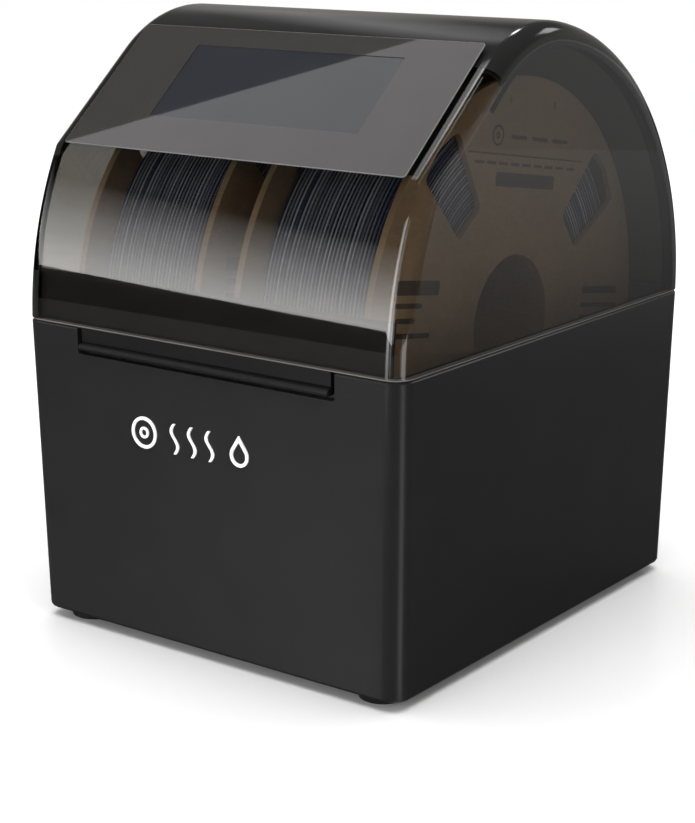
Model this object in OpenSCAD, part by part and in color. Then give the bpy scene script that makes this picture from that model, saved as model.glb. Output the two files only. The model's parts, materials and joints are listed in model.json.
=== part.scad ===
// Filament dryer box: tapered base with drying chamber, domed see-through lid, two filament spools on rollers.
// Millimetres, +Z up. The floor is Z = 0, the front faces -Y, and the origin is the centre of the footprint.

/* [Body] */
// Width of the box, side to side
body_w = 190; // [188:1:194]
// Depth of base and lid, front to back, without hinge and handle lip
body_d = 216; // [216:1:220]
// Height of the seam between base and lid
seam_z = 130; // [129:1:131]
// Height of the rubber feet
foot_h = 4; // [3:0.5:4]
// Radius of the rubber feet
foot_r = 9.5; // [8:0.5:11]
// How much narrower the base is at its bottom edge, each side
draft = 2.2; // [1.5:0.1:2.4]
// Radius of the vertical corners and of the lid's side edges
corner_r = 8; // [6:0.5:9]
// Wall of the base housing
base_wall = 3; // [2.5:0.1:3]
// Width of the notch in the front rim
notch_w = 130; // [110:1:140]
// Depth of the notch below the seam
notch_h = 11; // [9:0.5:12]

/* [Lid] */
// Wall of the clear lid
lid_wall = 2.5; // [2:0.1:2.8]
// Slope of the display face
slope = 40; // [39:0.5:41]
// Thickness of the cover panel over the display
panel_t = 2; // [1.5:0.1:2]
// Width of the cover panel
panel_w = 169; // [160:1:172]
// Length of the cover panel up the slope
panel_l = 68.8; // [66:0.2:69]
// Height of the dark band along the front of the lid
band_h = 21; // [16:1:24]
// Thickness of the opaque liner
liner_t = 2; // [1.5:0.1:2]
// Width of the pull tab
tab_w = 126; // [100:1:128]

/* [Spools] */
// Diameter of a spool flange
spool_d = 198; // [194:1:198]
// Overall width of a spool
spool_w = 65; // [58:0.5:66]
// Distance between the spools' middles
spool_pitch = 82; // [78:1:84]
// Thickness of a cardboard flange
flange_t = 3; // [2:0.5:3.5]
// Diameter of the hole through a spool
hub_d = 55; // [50:0.5:56]
// Diameter of the filament winding
wind_d = 174; // [140:1:180]

/* [Rollers] */
// Radius of a roller
roller_r = 8; // [7:0.1:8.5]
// Radius of a roller axle
axle_r = 2.5; // [2:0.1:3]
// Angle between the vertical and the line from spool centre to roller centre
roller_a = 30; // [27:0.5:31]

/* [Fittings] */
// Radius of the bore for the filament guide tube
tube_r = 2.2; // [2.1:0.05:2.4]
// Height of the filament outlets
outlet_z = 98; // [92:1:100]
// Radius of a hinge knuckle
knuckle_r = 3; // [2.5:0.1:3]
// Radius of a hinge pin
pin_r = 1.25; // [1:0.05:1.4]

/* [Hidden] */
$fn = 48;
W = body_w / 2;
D = body_d / 2;
lip_out = 2;
hinge_y = D + knuckle_r + 0.1;
y_shift = (lip_out - (hinge_y + knuckle_r - D)) / 2;
spool_z = seam_z + 1;
spool_r = spool_d / 2;
roll_dist = spool_r + roller_r + 0.3;
roll_y = roll_dist * sin(roller_a);
roll_z = spool_z - roll_dist * cos(roller_a);
tub_w = 88.5;
tub_d = 102.3;
tub_wall = 1.5;
tub_floor = 22;
bay_y = 78;
bay_z = 64.5;
fan_z = 44;
fan_y = 96;

// Lid profile, in the (y, z above the seam) plane: a front arc, a flat slope, a blend arc and a back arc.
front_c = [50, -3];
front_r = norm([front_c[0] + D, front_c[1]]);
back_c = [-12, 3];
back_r = norm([D - back_c[0], back_c[1]]);
blend_r = 65;
flat_n = [-sin(slope), cos(slope)];
flat_t = [cos(slope), sin(slope)];
flat_d = 112;
blend_a = 90 + slope - acos((flat_d - blend_r - flat_n * back_c) / (back_r - blend_r));
blend_c = back_c + (back_r - blend_r) * [cos(blend_a), sin(blend_a)];
panel_o = knee(0) + panel_t * flat_n - 1.2 * flat_t;

// Meeting point of the front arc and the slope, for a profile moved inwards by i.
function knee(i) = let (s = flat_n * front_c - (flat_d - i), h = sqrt(pow(front_r - i, 2) - s * s)) front_c - s * flat_n - h * flat_t;
function arc(c, r, a0, a1, n) = [for (k = [0:n]) let (a = a0 + (a1 - a0) * k / n) [c[0] + r * cos(a), c[1] + r * sin(a)]];
function front_arc(i, n) = let (r = front_r - i, k = knee(i) - front_c) arc(front_c, r, 180 - asin(-front_c[1] / r), atan2(k[1], k[0]), n);
function top_arcs(i, n) = let (b = arc(back_c, back_r - i, blend_a, -asin(back_c[1] / (back_r - i)), n)) concat(arc(blend_c, blend_r - i, 90 + slope, blend_a, ceil(n / 4)), [for (k = [1:n]) b[k]]);
function profile(i, low) = let (f = front_arc(i, 9), b = top_arcs(i, 22)) low < 0 ? concat([[f[0][0], low]], f, b, [[b[len(b) - 1][0], low]]) : concat(f, b);

// Corner list of a polygon with every corner rounded.
function rounded(p, r, n = 5) = let (m = len(p)) [for (k = [0:m - 1]) let (a = p[(k + m - 1) % m] - p[k], b = p[(k + 1) % m] - p[k], u = a / norm(a), v = b / norm(b), h = acos(u * v) / 2, c = p[k] + (u + v) / norm(u + v) * r / sin(h), s = p[k] + u * r / tan(h) - c, e = p[k] + v * r / tan(h) - c, t0 = atan2(s[1], s[0]), d = (atan2(e[1], e[0]) - t0 + 540) % 360 - 180) for (j = [0:n]) c + r * [cos(t0 + d * j / n), sin(t0 + d * j / n)]];
function box_pts(x0, x1, y0, y1) = [[x0, y0], [x1, y0], [x1, y1], [x0, y1]];

module placed() { translate([0, y_shift, 0]) children(); }
module slab(x0, x1, y0, y1, r, z0, z1) { translate([0, 0, z0]) linear_extrude(z1 - z0) polygon(rounded(box_pts(x0, x1, y0, y1), r, 6)); }
module block(a, b) { translate(a) cube(b - a); }
module along_x(x0, x1, y, z, r) { translate([x0, y, z]) rotate([0, 90, 0]) cylinder(h = x1 - x0, r = r); }
module along_y(x, y0, y1, z, r) { translate([x, y1, z]) rotate([90, 0, 0]) cylinder(h = y1 - y0, r = r); }
module section(x0, x1) { translate([x0, 0, seam_z]) rotate([90, 0, 90]) linear_extrude(x1 - x0) children(); }
module on_panel() { translate([0, panel_o[0], seam_z + panel_o[1]]) rotate([slope, 0, 0]) children(); }
module on_front() { translate([0, -(D - draft), foot_h]) rotate([atan(draft / (seam_z - foot_h)), 0, 0]) children(); }

// ---------------------------------------------------------------- base
module taper(i, z0, z1) {
    hull() {
        translate([0, 0, z0]) linear_extrude(0.01) polygon(rounded(box_pts(-(W - draft - i), W - draft - i, -(D - draft - i), D - draft - i), corner_r - i, 6));
        translate([0, 0, z1 - 0.01]) linear_extrude(0.01) polygon(rounded(box_pts(-(W - i), W - i, -(D - i), D - i), corner_r - i, 6));
    }
}
// the housing is one moulding, kept as four walls that meet on 45 degree planes at the corners
module corner_side(k) {
    cx = W - corner_r;
    cy = D - corner_r;
    a = [cx - 50, cy - 50];
    b = [cx + 40, cy + 40];
    f = [[a[0], -a[1]], [b[0], -b[1]], [-b[0], -b[1]], [-a[0], -a[1]]];
    l = [[-a[0], -a[1]], [-b[0], -b[1]], [-b[0], b[1]], [-a[0], a[1]]];
    translate([0, 0, -20]) linear_extrude(220) polygon(k == 0 ? f : k == 1 ? -f : k == 2 ? l : -l);
}
module base_wall_part(k) { color([0.16, 0.16, 0.165]) placed() intersection() { housing(); corner_side(k); } }
module housing() {
    difference() {
        union() {
            difference() {
                taper(0, foot_h, seam_z);
                taper(base_wall, foot_h - 0.5, seam_z + 0.5);
            }
            for (sx = [-1, 1], sy = [-1, 1]) translate([sx * 86.5, sy * 50, foot_h + 3.2]) cylinder(h = 14, r = 4);
        }
        for (sx = [-1, 1], sy = [-1, 1]) translate([sx * 86.5, sy * 50, foot_h]) cylinder(h = 15, r = 1.3);
        block([-notch_w / 2, -D - 1, seam_z - notch_h], [notch_w / 2, -D + base_wall + 1, seam_z + 1]);
        for (x = [-spool_pitch / 2, spool_pitch / 2]) along_y(x, D - 8, D + 2, outlet_z, 6.05);
        for (k = [0:6]) block([-18, D - 8, 29 + k * 4.6], [18, D + 2, 31 + k * 4.6]);
        block([-76.1, D - 8, 33.9], [-47.9, D + 2, 54.1]);
        block([-38.6, D - 8, 34.3], [-25.4, D + 2, 53.7]);
    }
}
module bottom_plate() {
    color([0.12, 0.12, 0.12]) placed() difference() {
        union() {
            slab(-(W - draft - base_wall - 0.15), W - draft - base_wall - 0.15, -(D - draft - base_wall - 0.15), D - draft - base_wall - 0.15, corner_r - base_wall, foot_h, foot_h + 3);
            for (x = [-66, -14], y = [-56, -24]) translate([x, y, foot_h + 2]) cylinder(h = 5.9, r = 3);
        }
        for (sx = [-1, 1], sy = [-1, 1]) translate([sx * 86.5, sy * 50, foot_h - 1]) { cylinder(h = 6, r = 1.5); cylinder(h = 3, r = 2.65); }
        for (k = [0:8], x = [-45, 15]) block([x, 20 + k * 5, foot_h - 1], [x + 30, 22 + k * 5, foot_h + 4]);
    }
}
module feet() {
    color([0.06, 0.06, 0.06]) placed() for (sx = [-1, 1], sy = [-1, 1]) translate([sx * 76, sy * 92, 0]) { cylinder(h = 1, r1 = foot_r - 1, r2 = foot_r); translate([0, 0, 1]) cylinder(h = foot_h - 1, r = foot_r); }
}
module bottom_screws() {
    color("silver") placed() for (sx = [-1, 1], sy = [-1, 1]) translate([sx * 86.5, sy * 50, foot_h + 0.2]) { cylinder(h = 1.7, r = 2.5); cylinder(h = 13, r = 1.25); }
}
// the tub is one moulding, kept as a floor and four walls
module tub_part(a, b) { color([0.2, 0.2, 0.21]) placed() intersection() { tub(); block(a, b); } }
module tub_side(x0, x1) {
    color([0.2, 0.2, 0.21]) placed() intersection() {
        tub();
        union() { block([x0, -96.5, tub_floor + 2.6], [x1, bay_y - 6, seam_z]); block([x0, bay_y - 7, bay_z + 3.5], [x1, 96, seam_z]); }
    }
}
module tub() {
    difference() {
        union() {
            slab(-tub_w, tub_w, -tub_d, bay_y, 4, tub_floor, seam_z - 2);
            slab(-tub_w, tub_w, -tub_d, tub_d, 4, bay_z, seam_z - 2);
            slab(-91.6, 91.6, -104.6, 104.6, 6, seam_z - 4, seam_z - 2);
        }
        slab(-tub_w + tub_wall, tub_w - tub_wall, -tub_d + tub_wall, bay_y - tub_wall, 3, tub_floor + 2, seam_z);
        slab(-tub_w + tub_wall, tub_w - tub_wall, -tub_d + tub_wall, tub_d - tub_wall, 3, bay_z + tub_wall, seam_z);
        block([-21, bay_y - 4, 28], [21, bay_y + 2, 60]);
        for (x = [-spool_pitch / 2, spool_pitch / 2]) along_y(x, tub_d - 4, tub_d + 2, outlet_z, 6.05);
        for (k = [0:5], x = [-60, 30]) block([x, -30 + k * 8, tub_floor - 1], [x + 30, -27 + k * 8, tub_floor + 4]);
        for (x = [-81, 0, 81], y = [-roll_y, roll_y], s = [-1, 1]) translate([x, y + s * 10, tub_floor - 1]) cylinder(h = 5, r = 1.3);
    }
}
module rim_gasket() {
    color([0.07, 0.07, 0.07]) placed() difference() {
        slab(-91.5, 91.5, -104.5, 104.5, 6, seam_z - 1.95, seam_z - 0.2);
        slab(-88.4, 88.4, -101.4, 101.4, 3, seam_z - 3, seam_z + 1);
    }
}
module axle_brackets() {
    color([0.25, 0.25, 0.26]) placed() for (x = [-81, 0, 81], y = [-roll_y, roll_y]) difference() {
        union() {
            block([x - 2.5, y - 6, tub_floor + 2.05], [x + 2.5, y + 6, roll_z]);
            along_x(x - 2.5, x + 2.5, y, roll_z, 6);
            block([x - 3.5, y - 14, tub_floor + 2.05], [x + 3.5, y + 14, tub_floor + 4.5]);
        }
        along_x(x - 4, x + 4, y, roll_z, axle_r + 0.03);
        for (s = [-1, 1]) translate([x, y + s * 10, tub_floor + 1]) cylinder(h = 6, r = 1.4);
    }
}
module bracket_screws() {
    color("silver") placed() for (x = [-81, 0, 81], y = [-roll_y, roll_y], s = [-1, 1]) translate([x, y + s * 10, tub_floor - 0.5]) { cylinder(h = 5, r = 1.2); translate([0, 0, 5.05]) cylinder(h = 1.6, r = 2.4); translate([0, 0, 4.5]) cylinder(h = 1, r = 1.2); }
}
module axle(y) { color([0.75, 0.76, 0.78]) placed() along_x(-84, 84, y, roll_z, axle_r); }
module air_grille() {
    color([0.15, 0.15, 0.15]) placed() difference() {
        block([-25, bay_y - 3, 26], [25, bay_y - tub_wall - 0.05, 62]);
        for (k = [0:7]) block([-20, bay_y - 5, 29 + k * 4], [20, bay_y, 31 + k * 4]);
    }
}
module heater_block() {
    color([0.72, 0.72, 0.7]) placed() union() {
        for (x = [-22, 20]) block([x, 79.5, 27], [x + 2, 91, 61]);
        for (z = [27, 37.2, 48.2, 59]) block([-22, 79.5, z], [22, 91, z + 2]);
        for (k = [0:15]) block([-19 + k * 2.5, 80.5, 27.5], [-18.5 + k * 2.5, 90, 60.5]);
    }
}
module fan_frame() {
    color([0.1, 0.1, 0.1]) placed() union() {
        difference() {
            block([-20, fan_y - 5, fan_z - 19.5], [20, fan_y + 5, fan_z + 19.5]);
            along_y(0, fan_y - 6, fan_y + 6, fan_z, 18.6);
            for (x = [-16, 16], z = [-16, 16]) along_y(x, fan_y - 6, fan_y + 6, fan_z + z, 1.7);
        }
        difference() {
            union() {
                along_y(0, fan_y + 3, fan_y + 5, fan_z, 8);
                for (a = [0:120:240]) translate([0, fan_y + 3, fan_z]) rotate([0, a, 0]) block([-1.2, 0, 5], [1.2, 2, 19]);
            }
            along_y(0, fan_y - 6, fan_y + 6, fan_z, 1.02);
        }
    }
}
module fan_axle() { color("silver") placed() along_y(0, fan_y - 4, fan_y + 4.8, fan_z, 1); }
module fan_impeller() {
    color([0.18, 0.18, 0.18]) placed() difference() {
        union() {
            along_y(0, fan_y - 3.6, fan_y + 2.4, fan_z, 8);
            for (a = [0:51.43:350]) translate([0, fan_y - 0.6, fan_z]) rotate([0, a, 0]) rotate([0, 0, 40]) block([-3.2, -0.5, 6], [3.2, 0.5, 17.4]);
        }
        along_y(0, fan_y - 6, fan_y + 6, fan_z, 1.05);
    }
}
module power_board() {
    color([0.1, 0.35, 0.2]) placed() union() {
        block([30, 82, 28], [84, 83.6, 62]);
        block([34, 83.5, 34], [54, 97, 54]);
        for (x = [60, 72]) along_y(x, 83.5, 98, 38, 5);
        block([58, 83.5, 48], [80, 92, 58]);
    }
}
module control_board() {
    color([0.1, 0.3, 0.4]) placed() union() {
        block([-70, -60, foot_h + 8], [-10, -20, foot_h + 9.6]);
        block([-50, -48, foot_h + 9.5], [-38, -36, foot_h + 11.2]);
        block([-66, -56, foot_h + 9.5], [-56, -40, foot_h + 16]);
        block([-30, -56, foot_h + 9.5], [-14, -50, foot_h + 15]);
        for (y = [-42, -32]) translate([-22, y, foot_h + 9.5]) cylinder(h = 7, r = 3.5);
    }
}
module humidity_sensor() {
    color([0.85, 0.85, 0.85]) placed() union() {
        block([-86.95, -90, 100], [-85.6, -76, 116]);
        block([-85.7, -87, 104], [-83.6, -79, 112]);
    }
}
module power_inlet() {
    color([0.08, 0.08, 0.08]) placed() difference() {
        union() {
            block([-76, D - 21, 34], [-48, D - 1.2, 54]);
            block([-79, D + 0.05, 31], [-45, D + 1.8, 57]);
            block([-75, D - 2, 35], [-49, D + 1, 53]);
        }
        block([-72, D - 16, 39], [-52, D + 3, 49]);
    }
}
module inlet_pins() { color("gold") placed() for (x = [-66.2, -57.8]) along_y(x, D - 15.95, D - 3, 44, 1.3); }
module switch_body() {
    color([0.08, 0.08, 0.08]) placed() difference() {
        union() {
            block([-38.5, D - 17, 34.4], [-25.5, D + 0.5, 53.6]);
            block([-40.5, D + 0.05, 32.5], [-23.5, D + 1.6, 55.5]);
        }
        block([-36.5, D - 8, 36.4], [-27.5, D + 3, 51.6]);
    }
}
module power_rocker() {
    color([0.6, 0.06, 0.05]) placed() translate([0, D - 2.5, 44]) rotate([-7, 0, 0]) difference() {
        translate([-36.2, 0, 0]) rotate([90, 0, 90]) linear_extrude(8.4) polygon([[-3.6, -3], [-3.6, 3], [1.5, 7], [5, 6.8], [3.6, 0], [5, -6.8], [1.5, -7]]);
        along_x(-40, -20, 0, 0, 0.9);
    }
}
module outlet_fittings() {
    color([0.1, 0.1, 0.1]) placed() for (x = [-spool_pitch / 2, spool_pitch / 2]) difference() {
        union() {
            along_y(x, 100.9, D + 0.9, outlet_z, 6);
            along_y(x, D + 0.05, D + 2, outlet_z, 8.5);
            along_y(x, D + 1.5, D + 4.5, outlet_z, 4.5);
        }
        along_y(x, 98, D + 6, outlet_z, tube_r);
    }
}
module base_hinge_leaves() {
    color([0.1, 0.1, 0.1]) placed() for (s = [-1, 1]) difference() {
        union() {
            block([s * 56 - 16, D + 0.02, seam_z - 20], [s * 56 + 16, D + 1.8, seam_z - 4]);
            for (x = [-16, 6]) {
                along_x(s * 56 + x, s * 56 + x + 10, hinge_y, seam_z, knuckle_r);
                block([s * 56 + x, D + 0.15, seam_z - 5], [s * 56 + x + 10, hinge_y + knuckle_r - 1, seam_z - 1.5]);
                block([s * 56 + x, D + 0.15, seam_z - 8], [s * 56 + x + 10, D + 1.8, seam_z - 2]);
            }
        }
        along_x(s * 56 - 20, s * 56 + 20, hinge_y, seam_z, pin_r + 0.02);
    }
}
module hinge_pins() { color("silver") placed() for (s = [-1, 1]) along_x(s * 56 - 16.4, s * 56 + 16.4, hinge_y, seam_z, pin_r); }
module base_magnets() { color([0.6, 0.6, 0.62]) placed() for (s = [-1, 1]) block([s * 78 - 6, -D + base_wall + 0.35, seam_z - 13], [s * 78 + 6, -tub_d - 0.15, seam_z - 4.2]); }
module ring(x, z, ro, ri) { difference() { along_y(x, -0.85, -0.05, z, ro); along_y(x, -2, 1, z, ri); } }
module front_emblem() {
    color([0.92, 0.92, 0.92]) placed() on_front() {
        ring(-30, 87.5, 6.6, 5.2);
        ring(-30, 87.5, 2.4, 1.3);
        for (k = [0:2]) translate([-14 + k * 9, -0.05, 81.2]) rotate([90, 0, 0]) linear_extrude(0.8) polygon(concat([for (j = [0:16]) [1.6 * sin(j * 22.5) - 0.7, j * 0.78]], [for (j = [16:-1:0]) [1.6 * sin(j * 22.5) + 0.7, j * 0.78]]));
        translate([19, -0.05, 86.2]) rotate([90, 0, 0]) linear_extrude(0.8) difference() { polygon(concat(arc([0, 0], 4.6, 150, 390, 20), [[0, 8.2]])); polygon(concat(arc([0, 0], 3.2, 150, 390, 20), [[0, 5.6]])); }
    }
}

// ---------------------------------------------------------------- lid
// Closed skin through equal profiles that move inwards towards both side faces, which rounds the side edges.
module dome(w, low) {
    n_half = 5;
    xi = [for (k = [0:2 * n_half - 1]) let (s = k < n_half ? -1 : 1, t = k < n_half ? 90 - 22.5 * k : 22.5 * (k - n_half)) [s * (W - corner_r + (corner_r - w) * sin(t)), w + (corner_r - w) * (1 - cos(t))]];
    n = len(profile(0, low));
    pts = [for (r = xi) each [for (p = profile(r[1], low)) [r[0], p[0], seam_z + p[1]]]];
    sides = [for (k = [0:len(xi) - 2], j = [0:n - 1]) each [[k * n + j, k * n + (j + 1) % n, (k + 1) * n + (j + 1) % n], [k * n + j, (k + 1) * n + (j + 1) % n, (k + 1) * n + j]]];
    caps = [[for (j = [n - 1:-1:0]) j], [for (j = [0:n - 1]) (len(xi) - 1) * n + j]];
    polyhedron(pts, concat(sides, caps));
}
module lid_shell() {
    color([0.45, 0.44, 0.42, 0.35]) placed() difference() {
        dome(0, 0);
        dome(lid_wall, -1);
        on_panel() block([-52, 17, -panel_t - lid_wall - 1.5], [55, 60, 1]);
    }
}
module lid_liner() {
    color([0.1, 0.1, 0.1]) placed() difference() {
        section(-86.5, 86.5) polygon(concat([knee(lid_wall + 0.3)], top_arcs(lid_wall + 0.3, 26), [for (p = [1]) let (b = top_arcs(lid_wall + 0.1 + liner_t, 26)) each [for (k = [len(b) - 1:-1:0]) b[k]]], [knee(lid_wall + 0.1 + liner_t)]));
        on_panel() block([-52, 17, -panel_t - lid_wall - liner_t - 2], [55, 60, 1]);
    }
}
module lid_band() {
    color([0.12, 0.12, 0.12]) placed() section(-86.5, 86.5) intersection() {
        polygon(let (a = front_arc(lid_wall + 0.1, 20), b = front_arc(lid_wall + 1.6, 20)) concat(a, [for (k = [20:-1:0]) b[k]]));
        translate([-150, 0]) square([150, band_h]);
    }
}
module handle_tab() {
    color([0.1, 0.1, 0.1]) placed() union() {
        block([-tab_w / 2, -D + 0.4, seam_z - 9.3], [tab_w / 2, -D + 2.7, seam_z - 0.02]);
        along_x(-tab_w / 2, tab_w / 2, -D - lip_out + 1.2, seam_z - 7.9, 1.2);
        block([-tab_w / 2, -D - lip_out + 1.2, seam_z - 9.1], [tab_w / 2, -D + 1, seam_z - 6.7]);
    }
}
module lid_hinge_leaves() {
    color([0.1, 0.1, 0.1]) placed() for (s = [-1, 1]) difference() {
        union() {
            section(s * 56 - 16, s * 56 + 16) polygon(concat(arc(back_c, back_r + 0.05, 0.4, 7, 6), arc(back_c, back_r + 1.8, 7, 0.4, 6)));
            along_x(s * 56 - 5.7, s * 56 + 5.7, hinge_y, seam_z, knuckle_r);
            block([s * 56 - 5.7, D + 0.15, seam_z + 1.5], [s * 56 + 5.7, hinge_y + knuckle_r - 1, seam_z + 5]);
            block([s * 56 - 5.7, D + 0.15, seam_z + 2], [s * 56 + 5.7, D + 1.7, seam_z + 8]);
        }
        along_x(s * 56 - 20, s * 56 + 20, hinge_y, seam_z, pin_r + 0.05);
        for (x = [-20, 5.7]) block([s * 56 + x, D - 5, seam_z - 6], [s * 56 + x + 14.3, D + 8, seam_z + 3.6]);
    }
}
module lid_magnets() { color([0.6, 0.6, 0.62]) placed() for (s = [-1, 1]) block([s * 78 - 6, -D + 4.75, seam_z + 0.3], [s * 78 + 6, -D + 6.6, seam_z + 6]); }
module display_panel() { color([0.2, 0.2, 0.2]) placed() on_panel() translate([0, 0, -panel_t + 0.02]) linear_extrude(panel_t - 0.02) polygon(rounded(box_pts(-panel_w / 2, panel_w / 2, 0, panel_l), 1.5, 4)); }
module lcd_module() { color([0.05, 0.06, 0.07]) placed() on_panel() block([-50, 18.5, -6.4], [53, 58.5, -panel_t - 0.05]); }
module display_board() {
    color([0.1, 0.35, 0.2]) placed() on_panel() union() {
        block([-48, 20, -8.6], [51, 57, -7]);
        block([-10, 30, -10.4], [8, 44, -8.5]);
        block([-44, 26, -10.6], [-34, 50, -8.5]);
        block([30, 26, -10.4], [42, 34, -8.5]);
    }
}
module display_housing() {
    color([0.12, 0.12, 0.12]) placed() on_panel() difference() {
        block([-58, 12, -12.2], [61, 61.5, -6.85]);
        block([-54, 16, -10.9], [57, 59, -6]);
        for (x = [-56, 59], y = [14.5, 59]) translate([x, y, -11]) cylinder(h = 5, r = 0.9);
    }
}
module display_screws() { color("silver") placed() on_panel() for (x = [-56, 59], y = [14.5, 59]) translate([x, y, -13.1]) cylinder(h = 0.85, r = 1.8); }

// ---------------------------------------------------------------- spools
module window() { linear_extrude(flange_t + 2, center = true) polygon(rounded([[55, -9.5], [93, -15], [95.5, 0], [93, 15], [55, 9.5]], 3.5, 4)); }
module flanges(x) {
    color([0.72, 0.58, 0.42]) placed() for (s = [-1, 1]) translate([x + s * (spool_w - flange_t) / 2, 0, spool_z]) rotate([90, 0, 90]) difference() {
        cylinder(h = flange_t, r = spool_r, center = true, $fn = 96);
        cylinder(h = flange_t + 2, r = hub_d / 2, center = true);
        for (a = [36:90:306]) rotate(a) window();
    }
}
module core(x) {
    color([0.62, 0.5, 0.37]) placed() difference() {
        along_x(x - spool_w / 2 + flange_t + 0.05, x + spool_w / 2 - flange_t - 0.05, 0, spool_z, hub_d / 2 + 4);
        along_x(x - spool_w, x + spool_w, 0, spool_z, hub_d / 2);
    }
}
module winding(x) {
    color([0.13, 0.17, 0.3]) placed() difference() {
        along_x(x - spool_w / 2 + flange_t + 0.1, x + spool_w / 2 - flange_t - 0.1, 0, spool_z, wind_d / 2);
        along_x(x - spool_w, x + spool_w, 0, spool_z, hub_d / 2 + 4.1);
    }
}
module roller(x, y) {
    color([0.3, 0.3, 0.3]) placed() difference() {
        along_x(x - 35, x + 35, y, roll_z, roller_r);
        along_x(x - 36, x + 36, y, roll_z, 5);
    }
}
module bushes(x, y) {
    color([0.9, 0.9, 0.88]) placed() for (s = [-1, 1]) difference() {
        union() {
            along_x(x + s * 31 - 4, x + s * 31 + 4, y, roll_z, 4.97);
            along_x(x + s * 35.65 - 0.6, x + s * 35.65 + 0.6, y, roll_z, 6);
            along_x(x + s * 33 - 2.5, x + s * 33 + 2.5, y, roll_z, 4.97);
        }
        along_x(x - 40, x + 40, y, roll_z, axle_r + 0.05);
    }
}

base_wall_part(0);  // base_front
base_wall_part(1);  // base_rear
base_wall_part(2);  // base_left
base_wall_part(3);  // base_right
bottom_plate();
feet();
bottom_screws();
tub_part([-99, -120, 0], [99, 120, tub_floor + 2.6]);
tub_part([-99, -120, tub_floor + 2.6], [99, -96.5, seam_z]);  // tub_front
union() { tub_side(-99, 0); }  // tub_left
union() { tub_side(0, 99); }  // tub_right
tub_part([-99, bay_y - 6, tub_floor + 2.6], [99, 120, bay_z + 3.5]);  // tub_bay
tub_part([-99, 96, bay_z + 3.5], [99, 120, seam_z]);  // tub_rear
rim_gasket();
axle_brackets();
bracket_screws();
axle(-roll_y);  // axle_front
axle(roll_y);  // axle_rear
air_grille();
heater_block();
fan_frame();
fan_axle();
power_board();
control_board();
humidity_sensor();
power_inlet();
inlet_pins();
switch_body();
outlet_fittings();
base_hinge_leaves();
hinge_pins();
base_magnets();
front_emblem();
lid_shell();
lid_liner();
lid_band();
handle_tab();
lid_hinge_leaves();
lid_magnets();
display_panel();
lcd_module();
display_board();
display_housing();
display_screws();
flanges(-spool_pitch / 2);  // spool_left_flanges
core(-spool_pitch / 2);  // spool_left_core
winding(-spool_pitch / 2);  // spool_left_winding
flanges(spool_pitch / 2);  // spool_right_flanges
core(spool_pitch / 2);  // spool_right_core
winding(spool_pitch / 2);  // spool_right_winding
roller(-spool_pitch / 2, -roll_y);  // roller_front_left
roller(spool_pitch / 2, -roll_y);  // roller_front_right
roller(-spool_pitch / 2, roll_y);  // roller_rear_left
roller(spool_pitch / 2, roll_y);  // roller_rear_right
bushes(-spool_pitch / 2, -roll_y);  // bushes_front_left
bushes(spool_pitch / 2, -roll_y);  // bushes_front_right
bushes(-spool_pitch / 2, roll_y);  // bushes_rear_left
bushes(spool_pitch / 2, roll_y);  // bushes_rear_right
fan_impeller();
power_rocker();
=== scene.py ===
import json
import math
import bpy
import bmesh
from mathutils import Vector, Matrix


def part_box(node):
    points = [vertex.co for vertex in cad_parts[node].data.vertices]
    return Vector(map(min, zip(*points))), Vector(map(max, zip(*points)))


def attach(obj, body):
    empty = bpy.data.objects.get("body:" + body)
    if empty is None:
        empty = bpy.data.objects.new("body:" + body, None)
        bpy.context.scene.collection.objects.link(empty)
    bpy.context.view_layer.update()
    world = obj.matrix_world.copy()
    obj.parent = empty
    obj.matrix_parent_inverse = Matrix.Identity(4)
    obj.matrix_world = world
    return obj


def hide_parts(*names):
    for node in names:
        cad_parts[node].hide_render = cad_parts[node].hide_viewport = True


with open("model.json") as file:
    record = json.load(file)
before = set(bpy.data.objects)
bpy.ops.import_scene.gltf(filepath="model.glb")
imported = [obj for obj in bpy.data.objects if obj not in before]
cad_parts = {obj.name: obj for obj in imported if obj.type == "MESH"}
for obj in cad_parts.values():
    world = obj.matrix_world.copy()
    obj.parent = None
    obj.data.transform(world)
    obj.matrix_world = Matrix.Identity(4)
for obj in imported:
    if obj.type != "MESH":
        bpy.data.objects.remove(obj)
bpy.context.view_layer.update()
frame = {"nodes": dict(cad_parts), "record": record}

rad = math.radians

# ------------------------------------------------------------------ sizes from the frame (mm, body centred)
BASE = ["base_front", "base_rear", "base_left", "base_right"]
B0 = [min(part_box(n)[0][k] for n in BASE) for k in range(3)]
B1 = [max(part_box(n)[1][k] for n in BASE) for k in range(3)]
YS = (B0[1] + B1[1]) / 2
W = (B1[0] - B0[0]) * 500
D = (B1[1] - B0[1]) * 500
SEAM = B1[2] * 1000
FOOT = B0[2] * 1000
DRAFT = 2.2
RC = 8.0


def V(x, y, z):
    return (x / 1000, y / 1000 + YS, z / 1000)


def centre(node):
    a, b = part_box(node)
    return ((a[0] + b[0]) * 500, (a[1] + b[1]) * 500 - YS * 1000, (a[2] + b[2]) * 500)


# ------------------------------------------------------------------ camera
AZ, EL, DIST = 36.51, 14.99, 869.9
TARGET = (-8.91, 0.0, 80.33)
BACK = Vector((math.sin(rad(AZ)) * math.cos(rad(EL)), -math.cos(rad(AZ)) * math.cos(rad(EL)), math.sin(rad(EL))))
cam_mm = Vector(TARGET) + BACK * DIST
cam_data = bpy.data.cameras.new("camera")
cam_data.sensor_fit = "AUTO"
cam_data.sensor_width = 36
cam_data.lens = 1992.89 / 823 * 36
cam_data.clip_end = 50
cam = bpy.data.objects.new("camera", cam_data)
cam.location = V(*cam_mm)
cam.rotation_euler = (rad(90 - EL), 0, rad(AZ))
bpy.context.collection.objects.link(cam)
bpy.context.scene.camera = cam


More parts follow.
